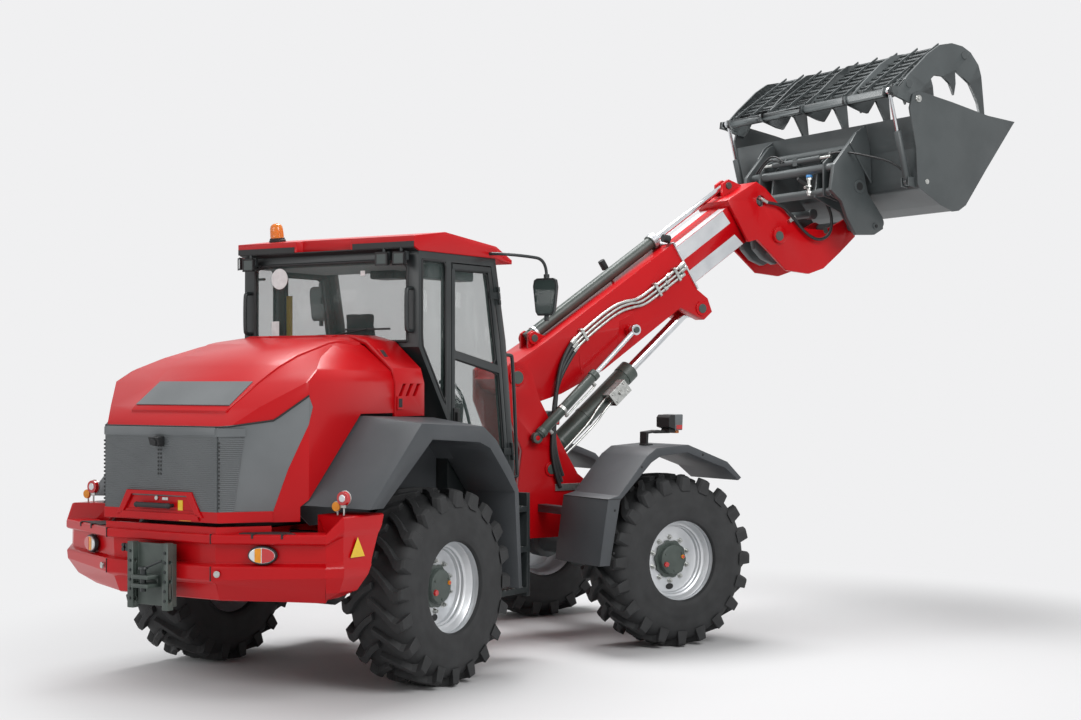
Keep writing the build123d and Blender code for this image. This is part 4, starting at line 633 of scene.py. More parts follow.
def add_bumper():
    """The wrapped bumper with its lip, recess and belly, its ledge, seams, caps, pads and blank triangles."""
    form = bmesh.new()
    stations = bumper_stations()
    add_loft(form, stations)
    for face in [f for f in form.faces if all(abs(v.co.y) < 1e-6 for v in f.verts)]:
        form.faces.remove(face)
    twin = bmesh.ops.duplicate(form, geom=form.verts[:] + form.edges[:] + form.faces[:])
    bmesh.ops.scale(form, vec=(1, -1, 1), verts=new_verts(twin))
    placed(form, "rear_bumper_shell", REAR, "rear", RED, ("rear_bumper",), rounding=0.004)

    seams = bmesh.new()
    caps = bmesh.new()
    pads = bmesh.new()
    triangle = bmesh.new()
    ledge = bmesh.new()
    skirt = [(-3.062, -0.480), (-2.800, -0.700), (-2.780, -0.680), (-3.030, -0.460)]
    add_plate(ledge, both_sides(skirt), 1.100, 1.147, "z")
    placed(ledge, "bumper_ledge", REAR, "rear", RED, rounding=0.003)
    for hand in (-1, 1):
        add_block(seams, (-3.0875, hand * 0.452 - 0.003, 1.046), (-3.060, hand * 0.452 + 0.003, 1.1065))
        add_block(seams, (-3.0875, hand * 0.452 - 0.003, 0.816), (-3.060, hand * 0.452 + 0.003, 0.906))
        for share in (0.36, 0.62):
            x, y = -3.083 + 0.283 * share, hand * (0.456 + 0.680 * share)
            add_block(seams, (x - 0.004, y - 0.006, 1.082), (x + 0.045, y + 0.006, 1.1125))
        add_rod(caps, (-3.074, hand * 0.498, 0.860), (-3.084, hand * 0.502, 0.860), 0.021)
        pad = [(-2.990, hand * 0.60), (-2.850, hand * 0.94), (-2.760, hand * 0.80), (-2.870, hand * 0.56)]
        add_plate(pads, pad, 1.104, 1.1125, "z")
        add_plate(triangle, [(-2.640, 0.962), (-2.500, 0.962), (-2.570, 1.085)], hand * 1.1995, hand * 1.2015)
    placed(seams, "bumper_seams", REAR, "rear", BLACK)
    placed(caps, "bumper_caps", REAR, "rear", ZINC, rounding=0.002)
    placed(pads, "bumper_treads", REAR, "rear", BLACK, rounding=0.002)
    placed(triangle, "bumper_triangles", REAR, "rear", YELLOW)


add_bumper()


BUMPER_SPLAY = 22.6  # degrees that the bumper's sides turn forward


def add_tail_lamps():
    """Oval tail lamps split into clear, orange and red fields, and the round lamps on their wire posts."""
    bezels, red, orange, glass, posts, rings = (bmesh.new() for _ in range(6))
    for hand in (-1, 1):
        turn = Matrix.Rotation(-hand * radians(BUMPER_SPLAY), 4, "Z") @ Matrix.Rotation(-pi / 2, 4, "Y")
        place = Matrix.Translation((-2.9265, hand * 0.741, 0.978)) @ turn
        for form, radius, start, depth, stretch in (
            (bezels, 0.060, 0, 0.022, 1.62), (glass, 0.050, 0.020, 0.010, 1.72)
        ):
            made = bmesh.ops.create_cone(
                form, cap_ends=True, segments=40, radius1=radius, radius2=radius * 0.94, depth=depth
            )
            oval = Matrix.Translation((0, 0, start + depth / 2)) @ Matrix.Diagonal((1, stretch, 1, 1))
            bmesh.ops.transform(form, matrix=place @ oval, verts=made["verts"])
        for form, low, high in ((red, -0.0805, -0.002), (orange, 0.003, 0.044)):
            steps = [low + (high - low) * count / 10 for count in range(11)]
            edge = [(0.0455 * (1 - (y / 0.083) ** 2) ** 0.5, y) for y in steps]
            made = add_plate(form, [(-x, y) for x, y in edge] + edge[::-1], 0.026, 0.033, "z")
            bmesh.ops.transform(form, matrix=place @ Matrix.Diagonal((1, -hand, 1, 1)), verts=made)
        x, y, z = -2.600, hand * 1.104, 1.322
        add_rod(rings, (x + 0.022, y, z), (x - 0.006, y, z), 0.046, 0.043)
        add_rod(glass, (x - 0.004, y, z), (x - 0.010, y, z), 0.026, 0.022)
        add_rod(posts, (x + 0.028, y, z), (x + 0.020, y, z), 0.049)
        add_rod(posts, (x + 0.014, y, 1.214), (x + 0.014, y, z - 0.02), 0.006, sides=12)
        add_rod(orange, (x + 0.004, y + 0.052, z - 0.052), (x - 0.006, y + 0.052, z - 0.052), 0.030)
        add_rod(posts, (x + 0.010, y + 0.052, z - 0.052), (x + 0.004, y + 0.052, z - 0.052), 0.033)
        add_rod(posts, (x + 0.014, y + 0.050, 1.214), (x + 0.010, y + 0.052, z - 0.05), 0.006, sides=12)
        add_block(posts, (x + 0.005, y - 0.020, z - 0.060), (x + 0.012, y + 0.060, z - 0.040))
    placed(bezels, "tail_lamp_bezels", REAR, "rear", BLACK, ("tail_lamps",), rounding=0.003)
    placed(glass, "tail_lamp_glasses", REAR, "rear", CLEAR, rounding=0.003)
    placed(red, "tail_lamp_red", REAR, "rear", RED_LENS, rounding=0.003)
    placed(rings, "marker_lamp_rings", REAR, "rear", RED_LENS, rounding=0.003)
    placed(orange, "tail_lamp_orange", REAR, "rear", ORANGE, rounding=0.003)
    placed(posts, "marker_lamp_posts", REAR, "rear", ZINC, rounding=0.001)


add_tail_lamps()


# Boom, its silver strips with a painted highlight on top, pipes, cylinders and hoses

GLAND_RADIUS = 0.0885
COLLAR_SIDES = 40
LIFT_PINS = (0.870, 1.345), (2.424, 2.671)
LEVEL_PINS = (0.700, 1.600), (1.655, 2.474)
LEVEL_Y = 0.305


def hoses(name, routes, radius, place, bodies):
    """Rubber hoses that cross a joint between two bodies: each is made once, in place, as one fixed mesh."""
    curve = tube(name + "_line", routes, radius, place, bodies[0], HOSE)
    mesh = bpy.data.meshes.new_from_object(curve)
    bpy.data.objects.remove(curve)
    piece = linked(name, mesh)
    mesh.shade_smooth()
    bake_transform(piece)


def add_boom_faces():
    """Silver strips along the inner boom, the top pair a painted highlight with a red stripe between them, and the
    bolted frame round the outer boom's mouth.
    """
    strips_and_highlight = bmesh.new()
    for hand in (-1, 1):
        for low, high in ((-0.342, -0.228), (-0.122, 0.008)):
            low_y, high_y = span(hand, 0.1755, 0.1778)
            add_plate(
                strips_and_highlight, [(0.98, low), (2.575 + 0.02 * (low < -0.2), low), (2.56, high), (0.98, high)], low_y, high_y
            )
        low_y, high_y = span(hand, 0.078, 0.174)
        # The top pair is a painted highlight: silver where the boom's top face catches the light, with the red stripe
        # between them
        add_block(strips_and_highlight, (0.98, low_y, 0.0105), (2.600, high_y, 0.0125))
        add_block(strips_and_highlight, (0.98, low_y, -0.3466), (2.600, high_y, -0.3445))
    placed(strips_and_highlight, "boom_strips_and_painted_highlight", BOOM, "inner", SILVER)

    mouth = bmesh.new()
    for hand in (-1, 1):
        low_y, high_y = span(hand, 0.190, 0.216)
        add_block(mouth, (1.930, low_y, -0.392), (1.946, high_y, 0.070))
        for v in (-0.36, -0.18, -0.02, 0.045):
            add_rod(mouth, (1.944, hand * 0.203, v), (1.954, hand * 0.203, v), 0.009, sides=6)
    add_block(mouth, (1.930, -0.216, 0.026), (1.946, 0.216, 0.070))
    placed(mouth, "boom_mouth", BOOM, "boom", SILVER, rounding=0.002)

    pins = bmesh.new()
    rings = bmesh.new()
    for hand in (-1, 1):
        for u, v, reach, radius in ((1.884, -0.558, 0.203, 0.040), (0.40, 0.115, 0.075, 0.030)):
            add_rod(
                rings, (u, hand * (reach - 0.005), v), (u, hand * (reach + 0.010), v), radius + 0.026, radius + 0.022
            )
            add_rod(pins, (u, hand * (reach + 0.008), v), (u, hand * (reach + 0.016), v), radius)
        low_y, high_y = span(hand, 0.045, 0.070)
        add_plate(
            rings, [(0.300, 0.060), (0.510, 0.060), (0.470, 0.110), (0.425, 0.175), (0.380, 0.175)], low_y, high_y
        )
        add_rod(pins, (1.136, hand * 0.262, -0.291), (1.136, hand * 0.338, -0.291), 0.026)
        low_y, high_y = span(hand, 0.200, 0.206)
        add_plate(rings, [(0.615, -0.190), (0.632, -0.190), (0.566, -0.330), (0.549, -0.330)], low_y, high_y)
        add_plate(rings, [(0.974, -0.345), (1.214, -0.345), (1.259, -0.200), (1.104, -0.182)], low_y, high_y)
    placed(rings, "boom_lugs", BOOM, "boom", RED, rounding=0.003)
    placed(pins, "boom_pins", BOOM, "boom", HUB, rounding=0.003)


def add_boom_pipes():
    """Zinc pipes on the boom's right flank, their clips and unions, and the hoses from them to the tower."""
    y = -0.232
    routes = [
        [
            (0.600, y, -0.062),
            (0.700, y, -0.040),
            (1.080, y, -0.030),
            (1.240, y, -0.070),
            (1.330, y, -0.118),
            (1.480, y, -0.128),
            (1.905, y, -0.128),
        ],
        [
            (0.590, y, -0.095),
            (0.700, y, -0.073),
            (1.100, y, -0.065),
            (1.260, y, -0.105),
            (1.350, y, -0.158),
            (1.500, y, -0.166),
            (1.905, y, -0.166),
        ],
        [
            (0.580, y, -0.128),
            (0.700, y, -0.106),
            (1.110, y, -0.100),
            (1.270, y, -0.150),
            (1.370, y, -0.195),
            (1.520, y, -0.202),
            (1.860, y, -0.202),
        ],
    ]
    pipe_run = tube("boom_pipe_run", routes, 0.0125, BOOM, "boom", ZINC)
    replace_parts(pipe_run, "boom_pipes")
    unions = bmesh.new()
    for route, ends in zip(routes, ((1.70, 1.905), (1.66, 1.905), (1.62, 1.860))):
        v = route[-1][2]
        add_rod(unions, (ends[0], y, v), (ends[0] + 0.035, y, v), 0.021, sides=6)
        add_rod(unions, (ends[1] - 0.06, y, v), (ends[1], y, v), 0.019)
        add_rod(unions, (ends[1] - 0.02, y, v), (ends[1] + 0.01, y, v), 0.022, sides=6)
        add_rod(
            unions,
            (route[0][0] - 0.01, y, route[0][2] - 0.004),
            (route[0][0] + 0.05, y, route[0][2] + 0.010),
            0.020,
            sides=6,
        )
    for u, low, high in ((0.730, -0.128, -0.015), (1.560, -0.226, -0.100), (1.800, -0.226, -0.100)):
        add_block(unions, (u - 0.013, -0.2515, low), (u + 0.013, -0.203, high))
        for v in (low + 0.012, high - 0.012):
            add_rod(unions, (u, -0.251, v), (u, -0.259, v), 0.009, sides=6)
    placed(unions, "boom_pipe_unions", BOOM, "boom", ZINC, rounding=0.002)

    for count, (v, drop) in enumerate(((-0.066, 0), (-0.099, 0.035), (-0.132, 0.07))):
        route = [
            (0.600, y, v),
            (0.500, y, v - 0.03),
            (0.330 - drop, y - 0.012, v - 0.14),
            (0.10 - drop, y - 0.030, v - 0.40),
            (-0.06 - drop, y - 0.045, v - 0.62),
            (-0.10 - drop, y - 0.045, v - 0.82),
        ]
        hoses(f"boom_hose_{count}", [route], 0.017, BOOM, ("boom", "front"))

    caps = bmesh.new()
    add_rod(caps, (1.955, -0.150, 0.095), (1.905, -0.150, 0.140), 0.034)
    add_rod(caps, (1.940, -0.150, 0.066), (1.940, -0.150, 0.110), 0.012)
    add_rod(caps, (1.420, 0.110, 0.150), (1.420, 0.110, 0.235), 0.030)
    add_rod(caps, (1.420, 0.110, 0.060), (1.420, 0.110, 0.155), 0.012)
    placed(caps, "boom_caps", BOOM, "boom", BLACK, rounding=0.005)


def add_telescope():
    """The telescope cylinder's collar and the ring at its foot."""
    collar = bmesh.new()
    add_rod(collar, (1.870, 0, 0.125), (1.926, 0, 0.125), 0.0665)
    add_rod(collar, (1.890, 0, 0.125), (1.905, 0, 0.125), 0.070)
    add_rod(collar, (0.455, 0, 0.125), (0.480, 0, 0.125), 0.058)
    placed(collar, "telescope_collar", BOOM, "boom", SILVER, rounding=0.002)


def between_pins(base, eye, y=0):
    """A frame at a cylinder's base pin, whose x runs to its eye."""
    pitch = atan2(eye[1] - base[1], eye[0] - base[0])
    return FRONT @ Matrix.Translation((base[0], y, base[1])) @ Matrix.Rotation(-pitch, 4, "Y")


def add_collar(form, low, high, outer, inner):
    """A hollow ring about x, so that a rod can slide through it."""
    section = ((low, inner, 0), (low, outer, 0), (high, outer, 0), (high, inner, 0))
    corners = [form.verts.new(spot) for spot in section]
    edges = [form.edges.new(pair) for pair in zip(corners, corners[1:] + corners[:1])]
    bmesh.ops.spin(
        form, geom=corners + edges, cent=(0, 0, 0), axis=(1, 0, 0), angle=2 * pi, steps=COLLAR_SIDES, use_merge=True
    )


def add_cylinders():
    """Glands, ports, pipes and the light grey valve block of the lift cylinder and the levelling cylinders."""
    lift = between_pins(*LIFT_PINS)
    gland = bmesh.new()
    add_collar(gland, 1.140, 1.238, GLAND_RADIUS, 0.084)
    add_rod(gland, (0.060, 0, 0), (0.110, 0, 0), GLAND_RADIUS)
    for run in (0.30, 0.62):
        add_collar(gland, run, run + 0.022, 0.0875, 0.084)
    placed(gland, "lift_gland", lift, "lift_tube", HUB, rounding=0.004)
    block = bmesh.new()
    add_block(block, (0.850, -0.178, -0.068), (1.050, -0.075, 0.052))
    for run in (0.880, 1.020):
        for v in (-0.045, 0.030):
            add_rod(block, (run, -0.176, v), (run, -0.186, v), 0.010, sides=6)
    add_rod(block, (0.950, -0.176, -0.010), (0.950, -0.196, -0.010), 0.019, sides=6)
    add_rod(block, (0.835, -0.130, -0.030), (0.852, -0.130, -0.030), 0.017, sides=6)
    placed(block, "lift_valve_block", lift, "lift_tube", ZINC, rounding=0.003)
    runs = [
        [
            (0.850, -0.130, -0.030),
            (0.760, -0.132, -0.034),
            (0.640, -0.112, -0.070),
            (0.300, -0.105, -0.070),
            (0.120, -0.100, -0.060),
        ],
        [
            (0.850, -0.100, 0.020),
            (0.740, -0.110, 0.020),
            (0.600, -0.108, -0.020),
            (0.300, -0.108, -0.030),
            (0.120, -0.105, -0.030),
        ],
    ]
    tube("lift_pipes", runs, 0.010, lift, "lift_tube", ZINC)

    for name, y in (("right", -LEVEL_Y), ("left", LEVEL_Y)):
        level = between_pins(*LEVEL_PINS, y)
        caps = bmesh.new()
        add_collar(caps, 0.715, 0.764, 0.0465, 0.041)
        add_rod(caps, (0.050, 0, 0), (0.085, 0, 0), 0.0465)
        placed(caps, "levelling_glands_" + name, level, "level_tube", HUB, rounding=0.003)
        ports = bmesh.new()
        for run in (0.130, 0.330, 0.690):
            add_rod(ports, (run, 0, -0.036), (run, 0, -0.064), 0.015)
            add_rod(ports, (run, 0, -0.058), (run, 0, -0.072), 0.018, sides=6)
        add_collar(ports, 0.316, 0.344, 0.045, 0.041)
        placed(ports, "levelling_ports_" + name, level, "level_tube", ZINC, rounding=0.002)
        tube(
            "levelling_pipes_" + name,
            [[(0.690, 0, -0.070), (0.640, 0, -0.076), (0.400, 0, -0.060), (0.330, 0, -0.070)]],
            0.008, level, "level_tube", ZINC,
        )


def add_head():
    """The head's pin heads, the hose that loops from its oval hole to the coupler's valve, and that hose's clip."""
    pins = bmesh.new()
    for hand in (-1, 1):
        add_rod(pins, (2.921, hand * 0.258, -0.470), (2.921, hand * 0.268, -0.470), 0.042)
        add_rod(pins, (2.825, hand * 0.058, 0.120), (2.825, hand * 0.075, 0.120), 0.030)
        add_rod(pins, (3.430, hand * 0.224, -0.724), (3.430, hand * 0.228, -0.724), 0.026)
    placed(pins, "head_pins", BOOM, "inner", HUB, rounding=0.003)
    fitting = bmesh.new()
    add_rod(fitting, (2.939, -0.205, -0.090), (2.939, -0.262, -0.110), 0.017, sides=6)
    add_rod(fitting, (2.939, -0.255, -0.110), (2.975, -0.262, -0.165), 0.015)
    add_block(fitting, (3.095, -0.262, -0.440), (3.175, -0.226, -0.415))
    add_rod(fitting, (3.150, -0.262, -0.428), (3.150, -0.235, -0.428), 0.022)
    placed(fitting, "head_fitting", BOOM, "inner", ZINC, rounding=0.002)
    loop = [(2.965, -0.264, -0.155), (3.010, -0.268, -0.190), (3.095, -0.270, -0.270), (3.150, -0.262, -0.430),
            (3.185, -0.262, -0.600), (3.265, -0.275, -0.735), (3.410, -0.285, -0.760), (3.520, -0.285, -0.640),
            (3.545, -0.270, -0.480), (3.500, -0.230, -0.330), (3.430, -0.200, -0.180)]
    hoses("head_hose", [loop], 0.014, BOOM, ("inner", "tool"))


add_boom_faces()
add_boom_pipes()
add_telescope()
add_cylinders()
add_head()


# Coupler, bucket and grab


def add_tool():
    """The coupler's valve, cap, lock, hoses and bosses, the grab's bars and slats, and the bucket's bolts."""
    valve = bmesh.new()
    add_rod(valve, (3.600, -0.235, 3.700), (3.600, -0.235, 3.860), 0.020)
    for z in (3.720, 3.775, 3.840):
        add_rod(valve, (3.600, -0.235, z), (3.600, -0.235, z + 0.020), 0.027, sides=6)
    add_rod(valve, (3.600, -0.235, 3.780), (3.545, -0.235, 3.770), 0.014)
    for y in (-0.30, 0.30):
        add_rod(valve, (3.655, y - 0.16, 4.030), (3.655, y + 0.16, 4.030), 0.016)
    placed(valve, "coupler_valve", FRONT, "tool", ZINC, rounding=0.002)
    cap = bmesh.new()
    add_rod(cap, (3.600, -0.235, 3.862), (3.600, -0.235, 3.885), 0.030, 0.026)
    placed(cap, "coupler_cap", FRONT, "tool", BLUE, rounding=0.003)
    lock = bmesh.new()
    add_rod(lock, (3.655, -0.320, 4.030), (3.655, 0.320, 4.030), 0.026)
    add_block(lock, (3.630, -0.030, 3.990), (3.690, 0.030, 4.060))
    placed(lock, "coupler_lock", FRONT, "tool", DARK, rounding=0.003)
    runs = [
        [(3.620, 0.180, 4.040), (3.600, 0.250, 4.080), (3.580, 0.360, 4.050), (3.560, 0.420, 3.960)],
        [(3.620, 0.140, 4.040), (3.600, 0.220, 4.110), (3.580, 0.340, 4.090), (3.560, 0.460, 3.960)],
        [
            (3.660, -0.330, 4.030),
            (3.660, -0.420, 4.060),
            (3.700, -0.600, 4.060),
            (3.800, -0.850, 3.990),
            (3.900, -1.000, 3.930),
            (3.930, -1.060, 3.860),
        ],
    ]
    tube("coupler_hoses", runs, 0.009, FRONT, "tool", HOSE)

    eyes = bmesh.new()
    for hand in (-1, 1):
        for x, z, radius in ((3.838, 3.760, 0.058), (4.030, 3.420, 0.030)):
            add_rod(eyes, (x, hand * 0.618, z), (x, hand * 0.628, z), radius)
    placed(eyes, "coupler_bosses", FRONT, "tool", DARK, rounding=0.003)
    # Black discs in the bosses: painted shade where their bores are
    bores = bmesh.new()
    for hand in (-1, 1):
        add_rod(bores, (3.838, hand * 0.626, 3.760), (3.838, hand * 0.6295, 3.760), 0.036)
        add_rod(bores, (4.030, hand * 0.626, 3.420), (4.030, hand * 0.634, 3.420), 0.016, sides=6)
    placed(bores, "coupler_bore_shade", FRONT, "tool", BLACK)

    bars = bmesh.new()
    for count in range(9):
        y = -1.02 + 0.255 * count
        side = [
            (3.745, 4.552),
            (3.780, 4.556),
            (3.858, 4.618),
            (4.402, 4.996),
            (4.398, 5.014),
            (3.850, 4.640),
            (3.770, 4.578),
            (3.745, 4.576),
        ]
        add_plate(bars, side, y - 0.006, y + 0.006)
    placed(bars, "grab_cross_bars", FRONT, "grab_body", DARK, rounding=0.001)
    slats = bmesh.new()
    for share in range(8):
        part = (share + 0.5) / 8
        x, z = 3.850 + 0.540 * part, 4.600 + 0.375 * part
        add_plate(
            slats,
            [(x - 0.003, z + 0.010), (x + 0.010, z - 0.008), (x + 0.015, z - 0.004), (x + 0.002, z + 0.014)],
            -1.168,
            1.168,
        )
    placed(slats, "grab_slats", FRONT, "grab_body", DARK, rounding=0.001)
    bolts = bmesh.new()
    caps = bmesh.new()
    for hand in (-1, 1):
        add_rod(bolts, (3.983, hand * 1.200, 4.464), (3.983, hand * 1.210, 4.464), 0.034, 0.030)
        add_rod(bolts, (3.983, hand * 1.206, 4.464), (3.983, hand * 1.220, 4.464), 0.018, sides=6)
        add_rod(bolts, (4.080, hand * 1.199, 3.760), (4.080, hand * 1.206, 3.760), 0.022)
        for x, z in ((3.900, 4.590), (4.560, 4.900)):
            add_rod(caps, (x, hand * 1.174, z), (x, hand * 1.180, z), 0.036)
    placed(bolts, "bucket_bolts", FRONT, "tool", ZINC, rounding=0.002)
    placed(caps, "grab_discs", FRONT, "grab_body", DARK, rounding=0.002)


add_tool()


# Cab: trim, lamps, mirrors, rails and what is inside

REAR_PANE_X = -1.384


def add_cab_trim():
    """Pane seals, door handles and pulls, the roof's dark edge, lining, wiper, blank disc and plates, and latches."""
    upper = [(-0.947, 2.850), (-0.947, 2.270), (-0.395, 2.170), (-0.525, 2.850)]
    lower = [
        (-0.947, 2.215),
        (-0.947, 1.625),
        (-0.845, 1.520),
        (-0.765, 1.385),
        (-0.290, 1.385),
        (-0.285, 1.420),
        (-0.375, 2.110),
    ]
    quarter = [(-1.345, 2.900), (-1.345, 2.310), (-1.060, 1.880), (-1.060, 2.900)]
    for name, hand, body in (("right", -1, "door_r"), ("left", 1, "door_l")):
        y = hand * 0.783
        loops = [[(x, y, z) for x, z in pane + pane[:1]] for pane in (upper, lower)]
        tube("door_seals_" + name, loops, 0.009, REAR, body, BLACK, smooth=False)
        tube(
            "quarter_seal_" + name,
            [[(x, hand * 0.797, z) for x, z in quarter + quarter[:1]]],
            0.010,
            REAR,
            "rear",
            BLACK,
            smooth=False,
        )
        handle = bmesh.new()
        low_y, high_y = span(hand, 0.799, 0.812)
        add_block(handle, (-0.972, low_y, 1.690), (-0.905, high_y, 1.860))
        low_y, high_y = span(hand, 0.810, 0.836)
        add_block(handle, (-0.962, low_y, 1.720), (-0.930, high_y, 1.830))
        placed(handle, "door_handle_" + name, REAR, body, BLACK, rounding=0.005)
        bar = [
            (-0.930, hand * 0.745, 2.10),
            (-0.930, hand * 0.700, 2.06),
            (-0.760, hand * 0.690, 2.02),
            (-0.640, hand * 0.690, 1.85),
            (-0.540, hand * 0.700, 1.50),
            (-0.540, hand * 0.750, 1.46),
        ]
        tube("door_pull_" + name, [bar], 0.012, REAR, body, COAT)
        rim = bmesh.new()
        low_y, high_y = span(hand, 0.7995, 0.806)
        add_plate(rim, [(-0.984, 2.889), (-0.984, 2.855), (-0.500, 2.855), (-0.494, 2.889)], low_y, high_y)
        placed(rim, "door_head_" + name, REAR, body, COAT, rounding=0.002)

    back = [
        (REAR_PANE_X, -0.700, 2.330),
        (REAR_PANE_X, 0.700, 2.330),
        (REAR_PANE_X, 0.700, 2.900),
        (REAR_PANE_X, -0.700, 2.900),
    ]
    tube("rear_seal", [back + back[:1]], 0.011, REAR, "rear", BLACK, smooth=False)
    edge = bmesh.new()
    add_block(edge, (-1.4530, -0.806, 2.982), (-1.4485, -0.266, 3.022))
    add_block(edge, (-1.4530, 0.266, 2.982), (-1.4485, 0.806, 3.022))
    add_plate(
        edge,
        [(-1.446, 2.9845), (-1.446, 2.976), (-1.388, 2.958), (-0.470, 2.958), (-0.430, 2.9595), (-1.386, 2.9605)],
        -0.795,
        0.795,
    )
    placed(edge, "roof_edge", REAR, "rear", BLACK, rounding=0.001)
    lining = bmesh.new()
    add_block(lining, (-1.330, -0.745, 2.880), (-0.520, 0.745, 2.912))
    add_block(lining, (-0.760, -0.120, 2.820), (-0.560, 0.120, 2.885))
    add_block(lining, (-1.200, -0.740, 2.780), (-0.620, -0.600, 2.885))
    placed(lining, "headliner", REAR, "rear", LINING, rounding=0.015)

    wiper = bmesh.new()
    add_block(wiper, (-1.425, -0.090, 2.338), (-1.383, 0.070, 2.385))
    add_rod(wiper, (-1.392, -0.010, 2.372), (-1.415, -0.010, 2.372), 0.014)
    add_rod(wiper, (-1.410, -0.010, 2.372), (-1.405, -0.360, 2.420), 0.006, sides=12)
    add_block(wiper, (-1.402, -0.560, 2.412), (-1.391, -0.160, 2.426))
    add_rod(wiper, (-0.2900, 0.02, 2.370), (-0.2600, 0.02, 2.370), 0.016)
    placed(wiper, "rear_wiper", REAR, "rear", BLACK, rounding=0.002)

    disc = bmesh.new()
    add_rod(disc, (-1.386, 0.460, 2.800), (-1.391, 0.460, 2.800), 0.076, sides=48)
    add_block(disc, (-1.389, 0.465, 2.375), (-1.3855, 0.535, 2.490))
    add_block(disc, (-1.389, -0.330, 2.800), (-1.3855, -0.290, 2.835))
    placed(disc, "blank_disc_and_plate", REAR, "rear", WHITE, rounding=0.001)
    strip = bmesh.new()
    add_block(strip, (-0.990, 0.700, 2.180), (-0.960, 0.738, 2.700))
    placed(strip, "cab_strip", REAR, "rear", YELLOW, rounding=0.003)

    latches = bmesh.new()
    # The black blocks through the latches are painted shade where their slots are
    slots = bmesh.new()
    for hand in (-1, 1):
        slope = Matrix.Translation((-1.690, hand * 0.722, 2.234)) @ Matrix.Rotation(hand * radians(-49), 4, "X")
        for form, size in ((latches, (0.030, 0.045, 0.010)), (slots, (0.020, 0.030, 0.013))):
            upright = add_block(form, (-size[0], -size[2], -size[1]), (size[0], size[2], size[1]))
            bmesh.ops.translate(form, vec=(-1.690, hand * 0.861, 1.905), verts=upright)
            leaning = add_block(form, (-size[0], -size[1], -size[2]), (size[0], size[1], size[2]))
            bmesh.ops.transform(form, matrix=slope, verts=leaning)
    placed(latches, "cowl_latches", REAR, "rear", RED, rounding=0.004)
    placed(slots, "cowl_latch_slot_shade", REAR, "rear", BLACK, rounding=0.002)


def add_work_lamps():
    """Square work lamps with deep black housings, bezels and tinted glasses, three on stirrups and one on an arm."""
    housing, glass, arms = bmesh.new(), bmesh.new(), bmesh.new()
    for x, y, z, turn in (
        (-1.445, 0.690, 2.905, 0), (-1.445, -0.690, 2.905, 0), (-1.445, -0.540, 2.905, 0), (-1.20, 0.985, 2.940, -38)
    ):
        place = Matrix.Translation((x, y, z)) @ Matrix.Rotation(radians(turn), 4, "Z")
        front = [(-0.028, -0.050, -0.045), (-0.028, 0.050, -0.045), (-0.028, 0.050, 0.045), (-0.028, -0.050, 0.045)]
        middle = [(0.000, a * 0.96, b * 0.96) for _, a, b in front]
        rear = [(0.030, a * 0.6, b * 0.66) for _, a, b in front]
        before = set(housing.verts)
        add_loft(housing, [front, middle, rear])
        for low, high in (
            ((-0.034, -0.050, 0.034), (-0.026, 0.050, 0.045)),
            ((-0.034, -0.050, -0.045), (-0.026, 0.050, -0.034)),
            ((-0.034, -0.050, -0.045), (-0.026, -0.040, 0.045)),
            ((-0.034, 0.040, -0.045), (-0.026, 0.050, 0.045)),
        ):
            add_block(housing, low, high)
        bmesh.ops.transform(housing, matrix=place, verts=[vert for vert in housing.verts if vert not in before])
        pane = add_block(glass, (-0.031, -0.041, -0.035), (-0.027, 0.041, 0.035))
        bmesh.ops.transform(glass, matrix=place, verts=pane)
        if turn:
            add_rod(arms, (x + 0.02, y - 0.01, z - 0.04), (x + 0.03, 0.880, 2.820), 0.010, sides=12)
            add_rod(arms, (x + 0.03, 0.880, 2.820), (x + 0.03, 0.795, 2.820), 0.010, sides=12)
        else:
            add_rod(arms, (x + 0.005, y, z + 0.040), (x + 0.005, y, 2.982), 0.012, sides=12)
            add_block(arms, (x - 0.010, y - 0.056, z - 0.012), (x + 0.018, y + 0.056, z + 0.050))
    placed(
        housing,
        "work_lamp_housings",
        REAR,
        "rear",
        BLACK,
        ("work_lamps",),
        rounding=0.003,
        sharp=radians(40),
    )
    placed(glass, "work_lamp_glasses", REAR, "rear", TINTED)
    placed(arms, "work_lamp_arms", REAR, "rear", COAT, rounding=0.002)


def add_beacon():
    """Amber beacon: a stepped black foot and a dome with a raised ring."""
    lean = Matrix.Rotation(atan2(-50, 367), 4, "Y")
    place = REAR @ Matrix.Translation((-1.250, 0.600, 3.0878)) @ lean @ Matrix.Rotation(pi / 2, 4, "X")
    foot = bmesh.new()
    add_turned(
        foot, [(0, 0), (0, 0.062), (0.014, 0.062), (0.018, 0.056), (0.028, 0.056), (0.030, 0.050), (0.030, 0)], 48
    )
    placed(foot, "beacon_foot", place, "rear", BLACK, ("beacon",), sharp=radians(35))
    dome = bmesh.new()
    add_turned(
        dome,
        [
            (0.028, 0.0495),
            (0.046, 0.0515),
            (0.050, 0.0500),
            (0.054, 0.0505),
            (0.100, 0.0480),
            (0.118, 0.0430),
            (0.130, 0.0330),
            (0.137, 0.0180),
            (0.139, 0),
        ],
        48,
    )
    placed(dome, "beacon_dome", place, "rear", AMBER, sharp=radians(60))


